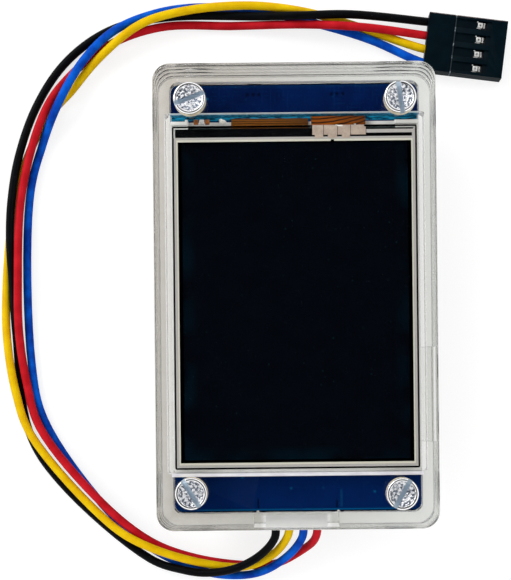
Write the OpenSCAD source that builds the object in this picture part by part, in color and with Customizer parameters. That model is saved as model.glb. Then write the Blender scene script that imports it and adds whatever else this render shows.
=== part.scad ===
// Touch display module of 2.4 inch class in a case of stacked clear sheets, with its four-wire lead.
// The origin is the middle of the case on the surface it lies on. +Z points out of the screen,
// and +Y runs along the case away from the lead's plug.

/* [Case] */
// Thickness of the front panel
front_t = 3; // [2:0.5:5]
// Thickness of the ring round the board
board_ring_t = 3; // [2.8:0.1:5]
// Thickness of the back panel
back_t = 2; // [1.5:0.5:4]
// Width of the ring walls round the board
wall = 2.7; // [2:0.1:5]
// Radius of the outer corners
case_r = 3; // [1:0.5:5]
// Gap between the board's edge and the ring walls
board_gap = 0.1; // [0.05:0.05:0.4]
// Radius of the corner ears that carry the board
ear_r = 3.6; // [3:0.1:4.5]
// Gap between the window and the display at each side
window_side_gap = 0.9; // [0.3:0.1:2]
// Gap between the window and the display at the plug's end
window_south_gap = 0.3; // [0.2:0.1:1]
// Gap between the window and the display at the flex end
window_north_gap = 1.0; // [0.9:0.1:2]
// Radius of the window's corners
window_r = 0.5; // [0.2:0.1:1.5]
// Gap in the wall at each side of the header
plug_side_gap = 1.3; // [0.5:0.1:3]
// Gap in the wall at each side of the card socket
card_side_gap = 1.3; // [0.5:0.1:3]

/* [Fasteners] */
// Thread diameter of the screws
screw_d = 3; // [2.5:0.1:3.1]
// Distance of the screws' tips above the nuts' lower faces
screw_recess = 0.4; // [0.2:0.1:1]
// Diameter of the screw heads
head_d = 5.5; // [5:0.1:6.5]
// Height of the screw heads
head_h = 2; // [1.5:0.1:3]
// Width of the driver slots
slot_w = 0.8; // [0.5:0.1:1.2]
// Depth of the driver slots
slot_depth = 1; // [0.5:0.1:1.3]
// Clearance round the screws in their holes
hole_clearance = 0.1; // [0.05:0.05:0.3]
// Width of the nuts across their flats
nut_af = 5.5; // [5:0.1:6.5]
// Height of the nuts, on which the case stands
nut_h = 2.4; // [1.8:0.1:3]
// Distance of the spacers under the front panel from the board's edges
spacer_inset = 0.8; // [0.6:0.1:1.5]

/* [Board] */
// Width of the board that shows at each side of the display
side_margin = 0.1; // [0:0.1:3]
// Length of the board that the screws take at each end
end_margin = 7.05; // [7:0.05:9]
// Thickness of the circuit board
board_t = 1.6; // [1:0.1:2]
// Radius of the board's corners
board_r = 1.5; // [0.5:0.1:3]
// Distance of the break-off tabs from the middle of the short edges
tab_x = 7; // [5:0.5:12]
// Place of the card socket along the board
card_y = -17; // [-20:0.5:-12]
// Length of the card socket
card_l = 15; // [13:0.5:16]
// Width of the card socket
card_w = 14; // [12:0.5:15]
// Height of the card socket
card_h = 1.9; // [1.6:0.1:2.5]

/* [Display] */
// Width of the backlight tray
lcd_w = 42.7; // [38:0.1:60]
// Length of the backlight tray
lcd_l = 60.3; // [56:0.1:75]
// Place of the display's middle along the board
lcd_y = 0.25; // [-0.5:0.05:0.5]
// Thickness of the foam tape under the tray
tape_t = 0.4; // [0.3:0.05:0.8]
// Wall of the backlight tray
tray_wall = 0.8; // [0.5:0.1:1.2]
// Floor of the backlight tray
tray_floor = 0.3; // [0.2:0.05:0.5]
// Thickness of the light guide
guide_t = 0.7; // [0.5:0.05:1]
// Thickness of each display glass
glass_t = 0.5; // [0.3:0.05:0.7]
// Length of the glass ledge that carries the driver chip
ledge_l = 2; // [1.6:0.1:3]
// Thickness of the touch glass
touch_glass_t = 0.7; // [0.4:0.1:1.1]
// Thickness of the touch film
touch_film_t = 0.2; // [0.1:0.05:0.3]
// Width of the printed tracks round the touch area
track_w = 0.75; // [0.4:0.05:1]
// Width of the display's flex
lcd_flex_w = 13.3; // [10:0.1:14]
// Width of the touch flex
touch_flex_w = 9.2; // [8:0.1:10]

/* [Lead] */
// Diameter of the wires over their insulation
wire_d = 1.5; // [1.1:0.1:1.5]
// Distance between the wires in the plug
plug_pitch = 2.5; // [2:0.1:2.54]
// Place of the plug's middle across the case
plug_x = -0.3; // [-1:0.1:1]
// Width of the header beyond the middle of its outer pins
header_side = 2.45; // [2.2:0.05:3]
// Height of the header
header_h = 5.8; // [5.2:0.1:7]
// Length of the header
header_l = 9; // [7:0.1:10]
// Wall of the header
header_wall = 0.7; // [0.5:0.05:0.9]
// Length of the plug
plug_l = 9.9; // [9:0.1:11]
// Distance between the ways in the socket
socket_pitch = 2.54; // [2.3:0.01:2.54]
// Length of the socket housing
socket_l = 14; // [12:0.5:16]
// Thickness of the socket housing
socket_h = 2.54; // [2.3:0.01:3]

/* [Hidden] */

fine = 48;            // facets of a full circle
skin = 0.01;          // overshoot of a cut past a face
slide = 0.1;          // clearance of a part that slides into another
ways = 4;             // of the plug, the header and the socket

// Case
board_w = lcd_w + 2 * side_margin;
board_l = lcd_l + 2 * end_margin;
case_w = board_w + 2 * (board_gap + wall);
case_l = board_l + 2 * (board_gap + wall);
opening_w = board_w + 2 * board_gap;
opening_l = board_l + 2 * board_gap;
hole_d = screw_d + 2 * hole_clearance;
hole_inset = end_margin / 2;
hole_x = board_w / 2 - hole_inset;
hole_y = board_l / 2 - hole_inset;
spacer_d = 2 * (hole_inset - spacer_inset);
header_gap = 0.2;                               // between the header and the back panel
lower_t = (header_h + header_gap) / 2;          // each of the two rings beside the header
z_back = nut_h;
z_lower = z_back + back_t;
z_slotted = z_lower + lower_t;
z_board = z_slotted + lower_t;
z_board_top = z_board + board_t;
z_front = z_board + board_ring_t;
z_face = z_front + front_t;
screw_len = z_face - screw_recess;
slot_angles = [20, 98, -58, 60];                // of the screws, from the top left one
thread_gap = 0.01;                              // between the screws and the nuts

// Places on the board's back are drawn for a board of this size, and move with its edges
back_w = 42.9;
back_l = 74.4;
graphics_at = [-8, -8];
controller_at = [9, 10];
memory_at = [-10, 12];
crystal_at = [9, 19];
regulator_at = [-12, -23];
inductor_at = [-11.5, -29.3];
graphics_side = 14;
controller_side = 7;
memory_side = 5.3;
crystal_size = [5, 3.2, 0.9];
regulator_size = [6.5, 3.5, 1.6];
inductor_side = 4;
inductor_h = 1.8;
lead_t = 0.15;                                  // sheet of the chips' leads
card_floor = 0.5;
card_rail = 1.2;
card_stop = 1.5;
shell_t = 0.2;
card_gap_w = card_w + 2 * card_side_gap;

// Display
reflector_t = 0.1;
films_t = 0.2;
polarizer_t = 0.1;
touch_bond_t = 0.15;
flex_t = 0.1;
cell_gap = 0.1;                                 // between the display's layers and the tray wall
cell_w = lcd_w - 2 * (tray_wall + cell_gap);
lcd_south = lcd_y - lcd_l / 2;
lcd_north = lcd_y + lcd_l / 2;
cell_south = lcd_south + tray_wall + cell_gap;
cell_north = lcd_north - tray_wall - cell_gap;
led_row = 0.7;                                  // depth of the row of lamps beside the guide
z_tray = z_board_top + tape_t;
z_reflector = z_tray + tray_floor;
z_guide = z_reflector + reflector_t;
z_films = z_guide + guide_t;
z_rear_polarizer = z_films + films_t;
z_rear_glass = z_rear_polarizer + polarizer_t;
z_front_glass = z_rear_glass + glass_t;
z_front_polarizer = z_front_glass + glass_t;
z_bond = z_front_polarizer + polarizer_t;
z_touch = z_bond + touch_bond_t;
z_tracks = z_touch + touch_glass_t;
z_film = z_tracks + flex_t;
z_top = z_film + touch_film_t;
tray_h = z_bond - z_tray;
left_post_w = 3.1;                              // of the tray's corner posts
right_post_w = 4.1;
wall_drop = 0.3;                                // of the tray's wall under the flexes
driver_h = 0.35;
touch_inset = 0.35;                             // of the touch glass from the tray's sides
touch_w = lcd_w - 2 * touch_inset;
touch_south = lcd_south + touch_inset;
touch_north = lcd_north - 1.1;
frame_inset = 0.35;                             // of the printed tracks from the glass
frame_top = cell_north - ledge_l - 0.15;        // outer edge of the upper track
lcd_flex_x = -4.25;
flex_gap = 0.3;                                 // between the two flexes
flex_side_gap = 1;                              // between the flexes and the foam tapes
touch_flex_x = lcd_flex_x + (lcd_flex_w + touch_flex_w) / 2 + flex_gap;
backlight_flex_w = 3.4;
backlight_flex_x = 5.05 - lcd_w / 2;
backlight_foot = 0.35;                          // of the backlight's flex on the board
flex_reach = 8;                                 // of the flexes under the tray
lcd_bend_y = lcd_north - 0.45;                  // middle of the display flex's bend
touch_bend_y = lcd_north - 1.05;                // middle of the touch flex's bend

// Lead
header_w = (ways - 1) * plug_pitch + 2 * header_side;
plug_gap_w = header_w + 2 * plug_side_gap;
header_mouth = -board_l / 2 - 0.4;
header_end = header_mouth + header_l;
header_depth = header_l - 1.8;
header_cavity_w = header_w - 2 * header_wall;
header_cavity_h = header_h - 2 * header_wall + 0.2;
plug_w = header_cavity_w - 2 * slide;
plug_h = header_cavity_h - 2 * slide;
plug_back = header_mouth + header_depth;
plug_face = plug_back - plug_l;
pin = 0.64;
pin_recess = 2.2;                               // of the pins in the header
wire_z = z_board - header_h / 2;
barrel_d = wire_d + 0.3;
barrel_l = 3;                                   // of a contact round its wire
contact = 1.8;                                  // side of a square contact body
contact_recess = 0.8;
tongue_w = 1;
socket_w = (ways - 1) * socket_pitch + 2.6;
socket_x = case_w / 2 + 7.65;
socket_y = case_l / 2 + 6.9;
socket_turn = -7.5;
socket_mid = socket_h / 2;

// Routes of the wires between the plug and the socket, lying on the table and over each other.
// They are drawn for a case and a wire of this size, and move with the case's sides.
route_w = 48.5;
route_l = 80;
route_wire_d = 1.5;
black_route = [[-4.3, -42.6, 6.9], [-6.9, -45.8, 5.3], [-11.4, -48.3, 4.4], [-16.8, -49.3, 3.2],
    [-21.5, -48.8, 2.3], [-27.5, -46.9, 1], [-44, -32.4, 0.8], [-49.6, -23.3, 0.8], [-51.8, -5.3, 0.8],
    [-52.1, 4.4, 2], [-52.4, 12, 2.4], [-52, 19.4, 2.5], [-50.6, 27.9, 1.9], [-47.3, 37.5, 0.8],
    [-41.7, 45.4, 0.8], [-33.9, 50.8, 0.8], [-23.7, 53.1, 0.8], [-5.7, 52.7, 2.1], [1.8, 52.4, 3.3],
    [10.5, 52.8, 2.4]];
yellow_route = [[-2.1, -42.6, 6.5], [-4.9, -46.1, 3.8], [-9.7, -48.3, 2.4], [-17.2, -47.7, 2.4],
    [-27.8, -44.2, 3.6], [-34.6, -40.2, 2.4], [-48.9, -23.8, 2.3], [-51.6, -16.1, 2.3],
    [-53.2, -6.8, 1.8], [-53.6, 1.7, 0.8], [-52, 18.2, 0.8], [-49.4, 27.4, 0.8], [-45.7, 34.7, 0.8],
    [-41.4, 39.4, 0.8], [-35.9, 45.2, 2.1], [-28, 51, 3.4], [-19.7, 53.4, 3.5], [-7.9, 54.6, 2.4],
    [1.8, 53.6, 1.9], [9.6, 51.8, 0.8]];
blue_route = [[0.6, -42.7, 6.3], [-2.1, -46.3, 4], [-7.5, -49.6, 1.7], [-14.6, -50, 0.8],
    [-21.6, -47.9, 0.8], [-28, -44.4, 0.8], [-36.1, -36.9, 0.8], [-46.8, -21.1, 0.8], [-49, -10.9, 0.8],
    [-49.1, 19.6, 0.8], [-46.9, 28.8, 0.8], [-43.2, 36.7, 3], [-38.4, 44.8, 2.9], [-32.7, 50.4, 2.3],
    [-25.3, 53.3, 2.4], [-18, 54.5, 1.9], [-8, 54.4, 0.8], [3.1, 52, 0.8], [14.2, 48.6, 0.8]];
red_route = [[3, -42.8, 5.9], [0.8, -45.3, 2.4], [-4.4, -48.1, 0.8], [-10.9, -48.2, 0.8],
    [-20.1, -46.6, 0.9], [-27.3, -43.5, 2.1], [-35.8, -36.6, 2.4], [-47.3, -22.4, 2.3],
    [-49.7, -14.2, 1.9], [-50.9, -5.4, 2.2], [-50.9, 3.7, 2.9], [-50.1, 21.2, 2.2], [-45.6, 35.9, 2.4],
    [-41.5, 42.2, 1], [-34.3, 48, 0.8], [-24.6, 51.3, 0.8], [-11.7, 51.4, 0.8], [2.2, 51.1, 2.2],
    [13.1, 50.2, 3]];

// ---- Shared shapes ----

// A rectangle with true round corners, centred
module rounded(w, l, r) {
    square([w - 2 * r, l], center = true);
    square([w, l - 2 * r], center = true);
    for (x = [-1, 1], y = [-1, 1])
        translate([x * (w / 2 - r), y * (l / 2 - r)]) circle(r, $fn = fine);
}

// One copy at each screw
module at_screws() {
    for (x = [-1, 1], y = [-1, 1]) translate([x * hole_x, y * hole_y]) children();
}

module screw_holes() {
    at_screws() circle(d = hole_d, $fn = fine);
}

// A block between two corners
module block(low, high) {
    translate(low) cube(high - low);
}

// A part on the board's back, drawn as if the board lay under it
module on_back(place, turn = 0) {
    translate([place[0] * board_w / back_w, place[1] * board_l / back_l, z_board])
        rotate([180, 0, 0]) rotate(turn) children();
}

// ---- Case ----

module case_outline() {
    rounded(case_w, case_l, case_r);
}

module board_opening() {
    rounded(opening_w, opening_l, board_r + board_gap);
}

// A corner ear: round towards the middle, and square into the corner
module ear() {
    circle(ear_r, $fn = fine);
    translate([0, -ear_r]) square([hole_inset + board_gap + skin, 2 * ear_r]);
    translate([-ear_r, 0]) square([2 * ear_r, hole_inset + board_gap + skin]);
}

module ears() {
    for (x = [-1, 1], y = [-1, 1])
        translate([x * hole_x, y * hole_y]) rotate(atan2(y, x) - 45) ear();
}

// The ring below the board, with ears that carry it
module eared_ring() {
    difference() {
        case_outline();
        difference() {
            board_opening();
            ears();
        }
        screw_holes();
    }
}

module plug_opening() {
    translate([plug_x - plug_gap_w / 2, -case_l / 2 - skin])
        square([plug_gap_w, wall + board_gap + 2 * skin]);
}

module card_opening() {
    translate([case_w / 2 - wall - skin, card_y - card_gap_w / 2])
        square([wall + 2 * skin, card_gap_w]);
}

// The corner that the two openings cut free
module corner_region() {
    translate([plug_x, -case_l / 2 - skin])
        square([case_w, card_y + case_l / 2]);
}

module front_panel() {
    window_w = lcd_w + 2 * window_side_gap;
    window_l = lcd_l + window_south_gap + window_north_gap;
    window_y = lcd_y + (window_north_gap - window_south_gap) / 2;
    color([0.86, 0.86, 0.83, 0.35])
        translate([0, 0, z_front]) linear_extrude(front_t) difference() {
            case_outline();
            translate([0, window_y]) rounded(window_w, window_l, window_r);
            screw_holes();
        }
}

module board_ring() {
    color([0.86, 0.86, 0.83, 0.35])
        translate([0, 0, z_board]) linear_extrude(board_ring_t) difference() {
            case_outline();
            board_opening();
        }
}

module slotted_ring() {
    color([0.86, 0.86, 0.83, 0.35])
        translate([0, 0, z_slotted]) linear_extrude(lower_t) difference() {
            eared_ring();
            plug_opening();
            card_opening();
            corner_region();
        }
}

module corner_piece() {
    color([0.86, 0.86, 0.83, 0.35])
        translate([0, 0, z_slotted]) linear_extrude(lower_t) difference() {
            intersection() {
                eared_ring();
                corner_region();
            }
            plug_opening();
            card_opening();
        }
}

module lower_ring() {
    color([0.86, 0.86, 0.83, 0.35])
        translate([0, 0, z_lower]) linear_extrude(lower_t) difference() {
            eared_ring();
            plug_opening();
        }
}

module back_panel() {
    color([0.86, 0.86, 0.83, 0.35])
        translate([0, 0, z_back]) linear_extrude(back_t) difference() {
            case_outline();
            screw_holes();
        }
}

// A cheese head screw with its tip down, seated at z = 0
module cheese_screw(turn) {
    edge = 0.25;
    tip = 0.4;
    r = screw_d / 2;
    difference() {
        rotate_extrude($fn = fine) polygon([[0, -screw_len], [r - tip, -screw_len],
            [r, tip - screw_len], [r, 0], [head_d / 2, 0], [head_d / 2, head_h - edge],
            [head_d / 2 - edge, head_h], [0, head_h]]);
        rotate(turn) translate([-head_d, -slot_w / 2, head_h - slot_depth])
            cube([2 * head_d, slot_w, slot_depth + skin]);
    }
}

module case_screws() {
    places = [[-1, 1], [1, 1], [-1, -1], [1, -1]];
    color("silver") for (i = [0 : 3])
        translate([places[i][0] * hole_x, places[i][1] * hole_y, z_face])
            cheese_screw(slot_angles[i]);
}

module case_nuts() {
    across = nut_af / cos(30);
    bevel = 0.3;
    color("silver") at_screws() difference() {
        intersection() {
            cylinder(h = nut_h, d = across, $fn = 6);
            rotate_extrude($fn = fine) polygon([[0, 0], [across / 2 - bevel, 0],
                [across / 2, bevel], [across / 2, nut_h - bevel],
                [across / 2 - bevel, nut_h], [0, nut_h]]);
        }
        translate([0, 0, -skin])
            cylinder(h = nut_h + 2 * skin, d = screw_d + 2 * thread_gap, $fn = fine);
    }
}

module panel_spacers() {
    color([0.9, 0.9, 0.88, 0.5]) at_screws() translate([0, 0, z_board_top]) difference() {
        cylinder(h = z_front - z_board_top, d = spacer_d, $fn = fine);
        translate([0, 0, -skin])
            cylinder(h = z_front - z_board_top + 2 * skin, d = hole_d, $fn = fine);
    }
}

// ---- Board ----

module circuit_board() {
    bite_d = 0.5;
    bite_pitch = 0.9;
    color([0.02, 0.13, 0.33]) translate([0, 0, z_board]) linear_extrude(board_t) difference() {
        rounded(board_w, board_l, board_r);
        screw_holes();
        for (x = [-tab_x, tab_x], y = [-board_l / 2, board_l / 2], i = [-1 : 1])
            translate([x + i * bite_pitch, y]) circle(d = bite_d, $fn = 16);
    }
}

// Bent leads along the two sides of a chip, from its sides down to the board
module lead_rows(count, pitch, body_w, reach, lead_w, height) {
    for (side = [0, 180], i = [0 : count - 1])
        rotate(side) translate([body_w / 2, (i - (count - 1) / 2) * pitch + lead_w / 2, 0])
            rotate([90, 0, 0]) linear_extrude(lead_w) polygon([[0, height], [reach / 2, height],
                [reach / 2, lead_t], [reach, lead_t], [reach, 0], [reach / 2 - lead_t, 0],
                [reach / 2 - lead_t, height - lead_t], [0, height - lead_t]]);
}

// A moulded chip body with a mark at its first lead
module chip_body(w, l, h) {
    lift = 0.1;
    mark = 0.15;
    difference() {
        translate([-w / 2, -l / 2, lift]) cube([w, l, h - lift]);
        translate([-w / 2 + w / 8, l / 2 - w / 8, h - mark])
            cylinder(h = mark + skin, d = w / 10, $fn = 24);
    }
}

module graphics_chip() {
    height = graphics_side / 10;
    on_back(graphics_at) color([0.12, 0.12, 0.13]) {
        chip_body(graphics_side, graphics_side, height);
        for (turn = [0, 90]) rotate(turn)
            lead_rows(16, graphics_side / 17.5, graphics_side, 1, 0.35, height / 2);
    }
}

module microcontroller() {
    height = controller_side / 5;
    on_back(controller_at) color([0.12, 0.12, 0.13]) {
        chip_body(controller_side, controller_side, height);
        for (turn = [0, 90]) rotate(turn)
            lead_rows(12, controller_side / 14, controller_side, 1, 0.22, height / 2);
    }
}

module flash_memory() {
    height = memory_side / 3;
    on_back(memory_at) color([0.12, 0.12, 0.13]) {
        chip_body(memory_side, memory_side, height);
        lead_rows(4, memory_side / 4.2, memory_side, 1.3, 0.4, height / 2);
    }
}

module crystal() {
    step = 0.2;
    base_t = 0.25;
    corner = 0.5;
    on_back(crystal_at) color("silver") {
        linear_extrude(base_t) square([crystal_size[0], crystal_size[1]], center = true);
        translate([0, 0, base_t]) linear_extrude(crystal_size[2] - base_t)
            rounded(crystal_size[0] - 2 * step, crystal_size[1] - 2 * step, corner);
    }
}

module regulator() {
    edge = regulator_size[1] / 2;
    reach = 1.6;
    lead_w = 0.7;
    foot_t = 0.3;
    on_back(regulator_at) color([0.12, 0.12, 0.13]) {
        chip_body(regulator_size[0], regulator_size[1], regulator_size[2]);
        for (i = [-1 : 1]) translate([i * 2.3, 0, 0]) {
            block([-lead_w / 2, -edge - reach, 0], [lead_w / 2, -edge, foot_t]);
            block([-lead_w / 2, -edge - foot_t, 0], [lead_w / 2, -edge, regulator_size[2] / 2]);
        }
        block([-1.5, edge, 0], [1.5, edge + reach, foot_t]);
    }
}

module inductor() {
    flange = 0.4;
    on_back(inductor_at) color([0.2, 0.2, 0.21]) {
        linear_extrude(flange) square(inductor_side, center = true);
        translate([0, 0, flange])
            cylinder(h = inductor_h - 2 * flange, d = 0.75 * inductor_side, $fn = fine);
        translate([0, 0, inductor_h - flange]) linear_extrude(flange)
            rounded(inductor_side, inductor_side, inductor_side / 5);
    }
}

// A chip part with its two metal caps, which are a little thicker than its body
module chip_part(size) {
    cap = size[0] / 5;
    plate = 0.02;
    translate([-size[0] / 2, -size[1] / 2, 0]) cube(size);
    for (side = [0, 180]) rotate(side) translate([size[0] / 2 - cap, -size[1] / 2 - plate, 0])
        cube([cap + plate, size[1] + 2 * plate, size[2] + plate]);
}

module chip_capacitors() {
    small = [1.6, 0.8, 0.8];
    load = [1, 0.5, 0.5];
    bulk = [3.2, 1.6, 1.4];
    color([0.6, 0.5, 0.38]) {
        for (x = [-15, -1]) on_back([x, 1.6]) chip_part(small);
        for (x = [-14 : 4 : -2], y = [-17.5]) on_back([x, y]) chip_part(small);
        for (x = [-14 : 4 : -6]) on_back([x, 17]) chip_part(small);
        for (x = [5 : 4 : 13]) on_back([x, 3.5], 90) chip_part(small);
        for (y = [17.6, 20.4]) on_back([4.5, y]) chip_part(load);
        for (gap = [3.6, 6.6])
            on_back([-5.5, (header_end + gap) * back_l / board_l]) chip_part(bulk);
    }
}

module chip_resistors() {
    body = [1.6, 0.8, 0.45];
    color([0.15, 0.15, 0.16]) {
        for (y = [6 : 2 : 14]) on_back([2, y]) chip_part(body);
        for (y = [5 : 3 : 14]) on_back([-16.5, y], 90) chip_part(body);
        for (x = [14.5 : 1.8 : 18.1]) on_back([x, 18], 90) chip_part(body);
    }
}

// The card socket, drawn with its mouth at +X, at the board's edge
module card_socket() {
    translate([board_w / 2 - card_l / 2, card_y, z_board]) rotate([180, 0, 0]) children();
}

module card_socket_base() {
    lip = 0.4;
    color([0.1, 0.1, 0.1]) card_socket() difference() {
        block([-card_l / 2 + shell_t, -card_w / 2 + shell_t, 0],
              [card_l / 2 - lip, card_w / 2 - shell_t, card_h - shell_t]);
        block([-card_l / 2 + card_stop, -card_w / 2 + card_rail, card_floor],
              [card_l / 2, card_w / 2 - card_rail, card_h]);
    }
}

module card_socket_shell() {
    notch_r = 3.2;
    window_l = 5;
    window_w = 1.8;
    color("silver") card_socket() difference() {
        block([-card_l / 2, -card_w / 2, 0], [card_l / 2, card_w / 2, card_h]);
        block([-card_l / 2 + shell_t, -card_w / 2 + shell_t, -skin],
              [card_l / 2 + skin, card_w / 2 - shell_t, card_h - shell_t]);
        // the finger notch at the mouth and two spring windows
        translate([card_l / 2, 0, card_h - shell_t - skin])
            cylinder(h = 2 * shell_t, r = notch_r, $fn = fine);
        for (y = [-card_w / 4, card_w / 4])
            block([-window_l / 2, y - window_w / 2, card_h - shell_t - skin],
                  [window_l / 2, y + window_w / 2, card_h + skin]);
    }
}

module card_socket_contacts() {
    count = 8;
    pitch = (card_w - 2 * card_rail) / (count + 2);
    width = 0.4;
    color("gold") card_socket() for (i = [0 : count - 1])
        translate([-card_l / 5, (i - (count - 1) / 2) * pitch + width / 2, card_floor])
            rotate([90, 0, 0]) linear_extrude(width)
                polygon([[-2, 0], [-0.8, 0], [1.2, 0.5], [1.9, 0.25], [2, 0.4], [1.2, 0.68],
                    [-0.85, 0.15], [-2, 0.15]]);
}

// ---- Header and plug ----

module cable_header() {
    keyway_w = 1.4;
    color([0.93, 0.92, 0.87]) difference() {
        block([plug_x - header_w / 2, header_mouth, z_board - header_h],
              [plug_x + header_w / 2, header_end, z_board]);
        block([plug_x - header_cavity_w / 2, header_mouth - skin, wire_z - header_cavity_h / 2],
              [plug_x + header_cavity_w / 2, header_mouth + header_depth,
               wire_z + header_cavity_h / 2]);
        // two keyways in the lower wall
        for (x = [-1, 1]) translate([plug_x + x * plug_pitch, header_mouth, 0])
            block([-keyway_w / 2, -skin, z_board - header_h - skin],
                  [keyway_w / 2, header_depth / 2, wire_z]);
        for (i = [0 : ways - 1]) translate([way_x(i) - pin / 2, header_mouth, wire_z - pin / 2])
            cube([pin, header_l + skin, pin]);
    }
}

function way_x(i) = plug_x + (i - (ways - 1) / 2) * plug_pitch;

module header_pins() {
    foot = 1.6;
    foot_t = 0.3;
    south = header_mouth + pin_recess;
    north = header_end + pin;
    color("silver") for (i = [0 : ways - 1]) translate([way_x(i) - pin / 2, 0, 0]) {
        block([0, south, wire_z - pin / 2], [pin, north, wire_z + pin / 2]);
        block([0, north - pin, wire_z - pin / 2], [pin, north, z_board]);
        block([0, north - pin, z_board - foot_t], [pin, north + foot, z_board]);
    }
}

module cable_plug() {
    rib_w = 1.1;
    rib_h = 0.5;
    rib_end = header_mouth + header_depth / 2 - 2 * slide;
    color([0.95, 0.94, 0.9]) difference() {
        union() {
            block([plug_x - plug_w / 2, plug_face, wire_z - plug_h / 2],
                  [plug_x + plug_w / 2, plug_back, wire_z + plug_h / 2]);
            for (x = [-1, 1]) translate([plug_x + x * plug_pitch, 0, wire_z])
                block([-rib_w / 2, plug_face, -plug_h / 2 - rib_h], [rib_w / 2, rib_end, 0]);
        }
        for (i = [0 : ways - 1]) translate([way_x(i), plug_face, wire_z]) {
            translate([0, -skin, 0]) rotate([-90, 0, 0])
                cylinder(h = barrel_l + skin, d = barrel_d, $fn = 24);
            block([-contact / 2, barrel_l - skin, -contact / 2],
                  [contact / 2, plug_l + skin, contact / 2]);
            // the window of the locking tongue
            block([-tongue_w / 2, barrel_l + tongue_w, 0],
                  [tongue_w / 2, barrel_l + 3 * tongue_w, plug_h]);
        }
    }
}

module plug_contacts() {
    color("silver") for (i = [0 : ways - 1]) difference() {
        translate([way_x(i), plug_face, wire_z]) {
            rotate([-90, 0, 0]) cylinder(h = barrel_l, d = barrel_d, $fn = 24);
            block([-contact / 2, barrel_l, -contact / 2],
                  [contact / 2, plug_l - contact_recess, contact / 2]);
        }
        block([way_x(i) - pin / 2, header_mouth + pin_recess, wire_z - pin / 2],
              [way_x(i) + pin / 2, plug_back + skin, wire_z + pin / 2]);
    }
}

// ---- Display ----

module foam_tapes() {
    inner = touch_flex_x + touch_flex_w / 2 + flex_side_gap;
    outer = cell_w / 2;
    color([0.15, 0.15, 0.15]) for (side = [-1, 1])
        translate([side * (inner + outer) / 2, lcd_y, z_board_top]) linear_extrude(tape_t)
            square([outer - inner, lcd_l - 4], center = true);
}

// The white tray, with posts at its flex end and a lowered wall between them
module backlight_tray() {
    slot_h = 0.5;
    corner = 0.4;
    color([0.95, 0.95, 0.93]) difference() {
        translate([0, lcd_y, z_tray]) linear_extrude(tray_h)
            rounded(lcd_w, lcd_l, corner);
        block([-lcd_w / 2 + tray_wall, lcd_south + tray_wall, z_reflector],
              [lcd_w / 2 - tray_wall, lcd_north - tray_wall, z_bond + skin]);
        // the lowered wall that the flexes pass over
        block([-lcd_w / 2 + left_post_w, lcd_north - tray_wall - skin, z_front_glass - wall_drop],
              [lcd_w / 2 - right_post_w, lcd_north + skin, z_bond + skin]);
        // the slot that the backlight's flex passes through
        block([backlight_flex_x - backlight_flex_w / 2 - slide, lcd_north - tray_wall - skin,
               z_reflector], [backlight_flex_x + backlight_flex_w / 2 + slide, lcd_north + skin,
               z_reflector + slot_h]);
    }
}

// A layer in the tray, from the plug's end up to the given edge
module layer(z, t, north) {
    block([-cell_w / 2, cell_south, z], [cell_w / 2, north, z + t]);
}

module reflector() {
    color([0.97, 0.97, 0.97]) layer(z_reflector, reflector_t, cell_north - led_row - slide);
}

module light_guide() {
    color([0.85, 0.95, 0.95, 0.6]) layer(z_guide, guide_t, cell_north - led_row - slide);
}

module backlight_leds() {
    count = 4;
    led = [3.4, led_row, 0.6];
    color([0.98, 0.95, 0.7]) for (i = [0 : count - 1])
        translate([(i - (count - 1) / 2) * 9.5 - led[0] / 2, cell_north - led_row,
                   z_reflector + flex_t]) cube(led);
}

// The flex under the lamps, and its tail down to the board
module backlight_flex() {
    half = backlight_flex_w / 2;
    outer = lcd_north + 0.2;
    color([0.75, 0.42, 0.1]) {
        block([-cell_w / 2 + 1.5, cell_north - led_row, z_reflector],
              [cell_w / 2 - 1.5, cell_north, z_reflector + flex_t]);
        block([backlight_flex_x - half, cell_north - led_row, z_reflector],
              [backlight_flex_x + half, outer + flex_t, z_reflector + flex_t]);
        block([backlight_flex_x - half, outer, z_board_top],
              [backlight_flex_x + half, outer + flex_t, z_reflector + flex_t]);
        block([backlight_flex_x - half, outer, z_board_top],
              [backlight_flex_x + half, outer + backlight_foot, z_board_top + flex_t]);
    }
}

module optical_films() {
    color([0.98, 0.98, 0.98, 0.8]) layer(z_films, films_t, cell_north);
}

module rear_polarizer() {
    color([0.2, 0.22, 0.22, 0.9]) layer(z_rear_polarizer, polarizer_t, cell_north);
}

module rear_glass() {
    color([0.6, 0.7, 0.7, 0.6]) layer(z_rear_glass, glass_t, cell_north);
}

module front_glass() {
    color([0.05, 0.06, 0.07, 0.9]) layer(z_front_glass, glass_t, cell_north - ledge_l);
}

module front_polarizer() {
    color([0.02, 0.03, 0.05]) layer(z_front_polarizer, polarizer_t, cell_north - ledge_l);
}

module driver_chip() {
    chip = [18, 0.9, driver_h];
    color([0.2, 0.2, 0.22]) translate([-chip[0] / 2, cell_north - ledge_l + 0.3, z_front_glass])
        cube(chip);
}

// Black tape over the driver chip, level with the front polarizer
module ledge_tape() {
    skirt = 0.2;
    chip_top = z_front_glass + driver_h;
    color([0.03, 0.03, 0.03]) {
        block([-cell_w / 2, cell_north - ledge_l + skin, chip_top],
              [cell_w / 2, cell_north - 0.5, z_bond]);
        for (side = [-1, 1]) translate([side * (cell_w / 2 - skirt / 2), 0, 0])
            block([-skirt / 2, cell_north - ledge_l + skin, z_front_glass],
                  [skirt / 2, cell_north - 0.5, chip_top]);
    }
}

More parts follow.
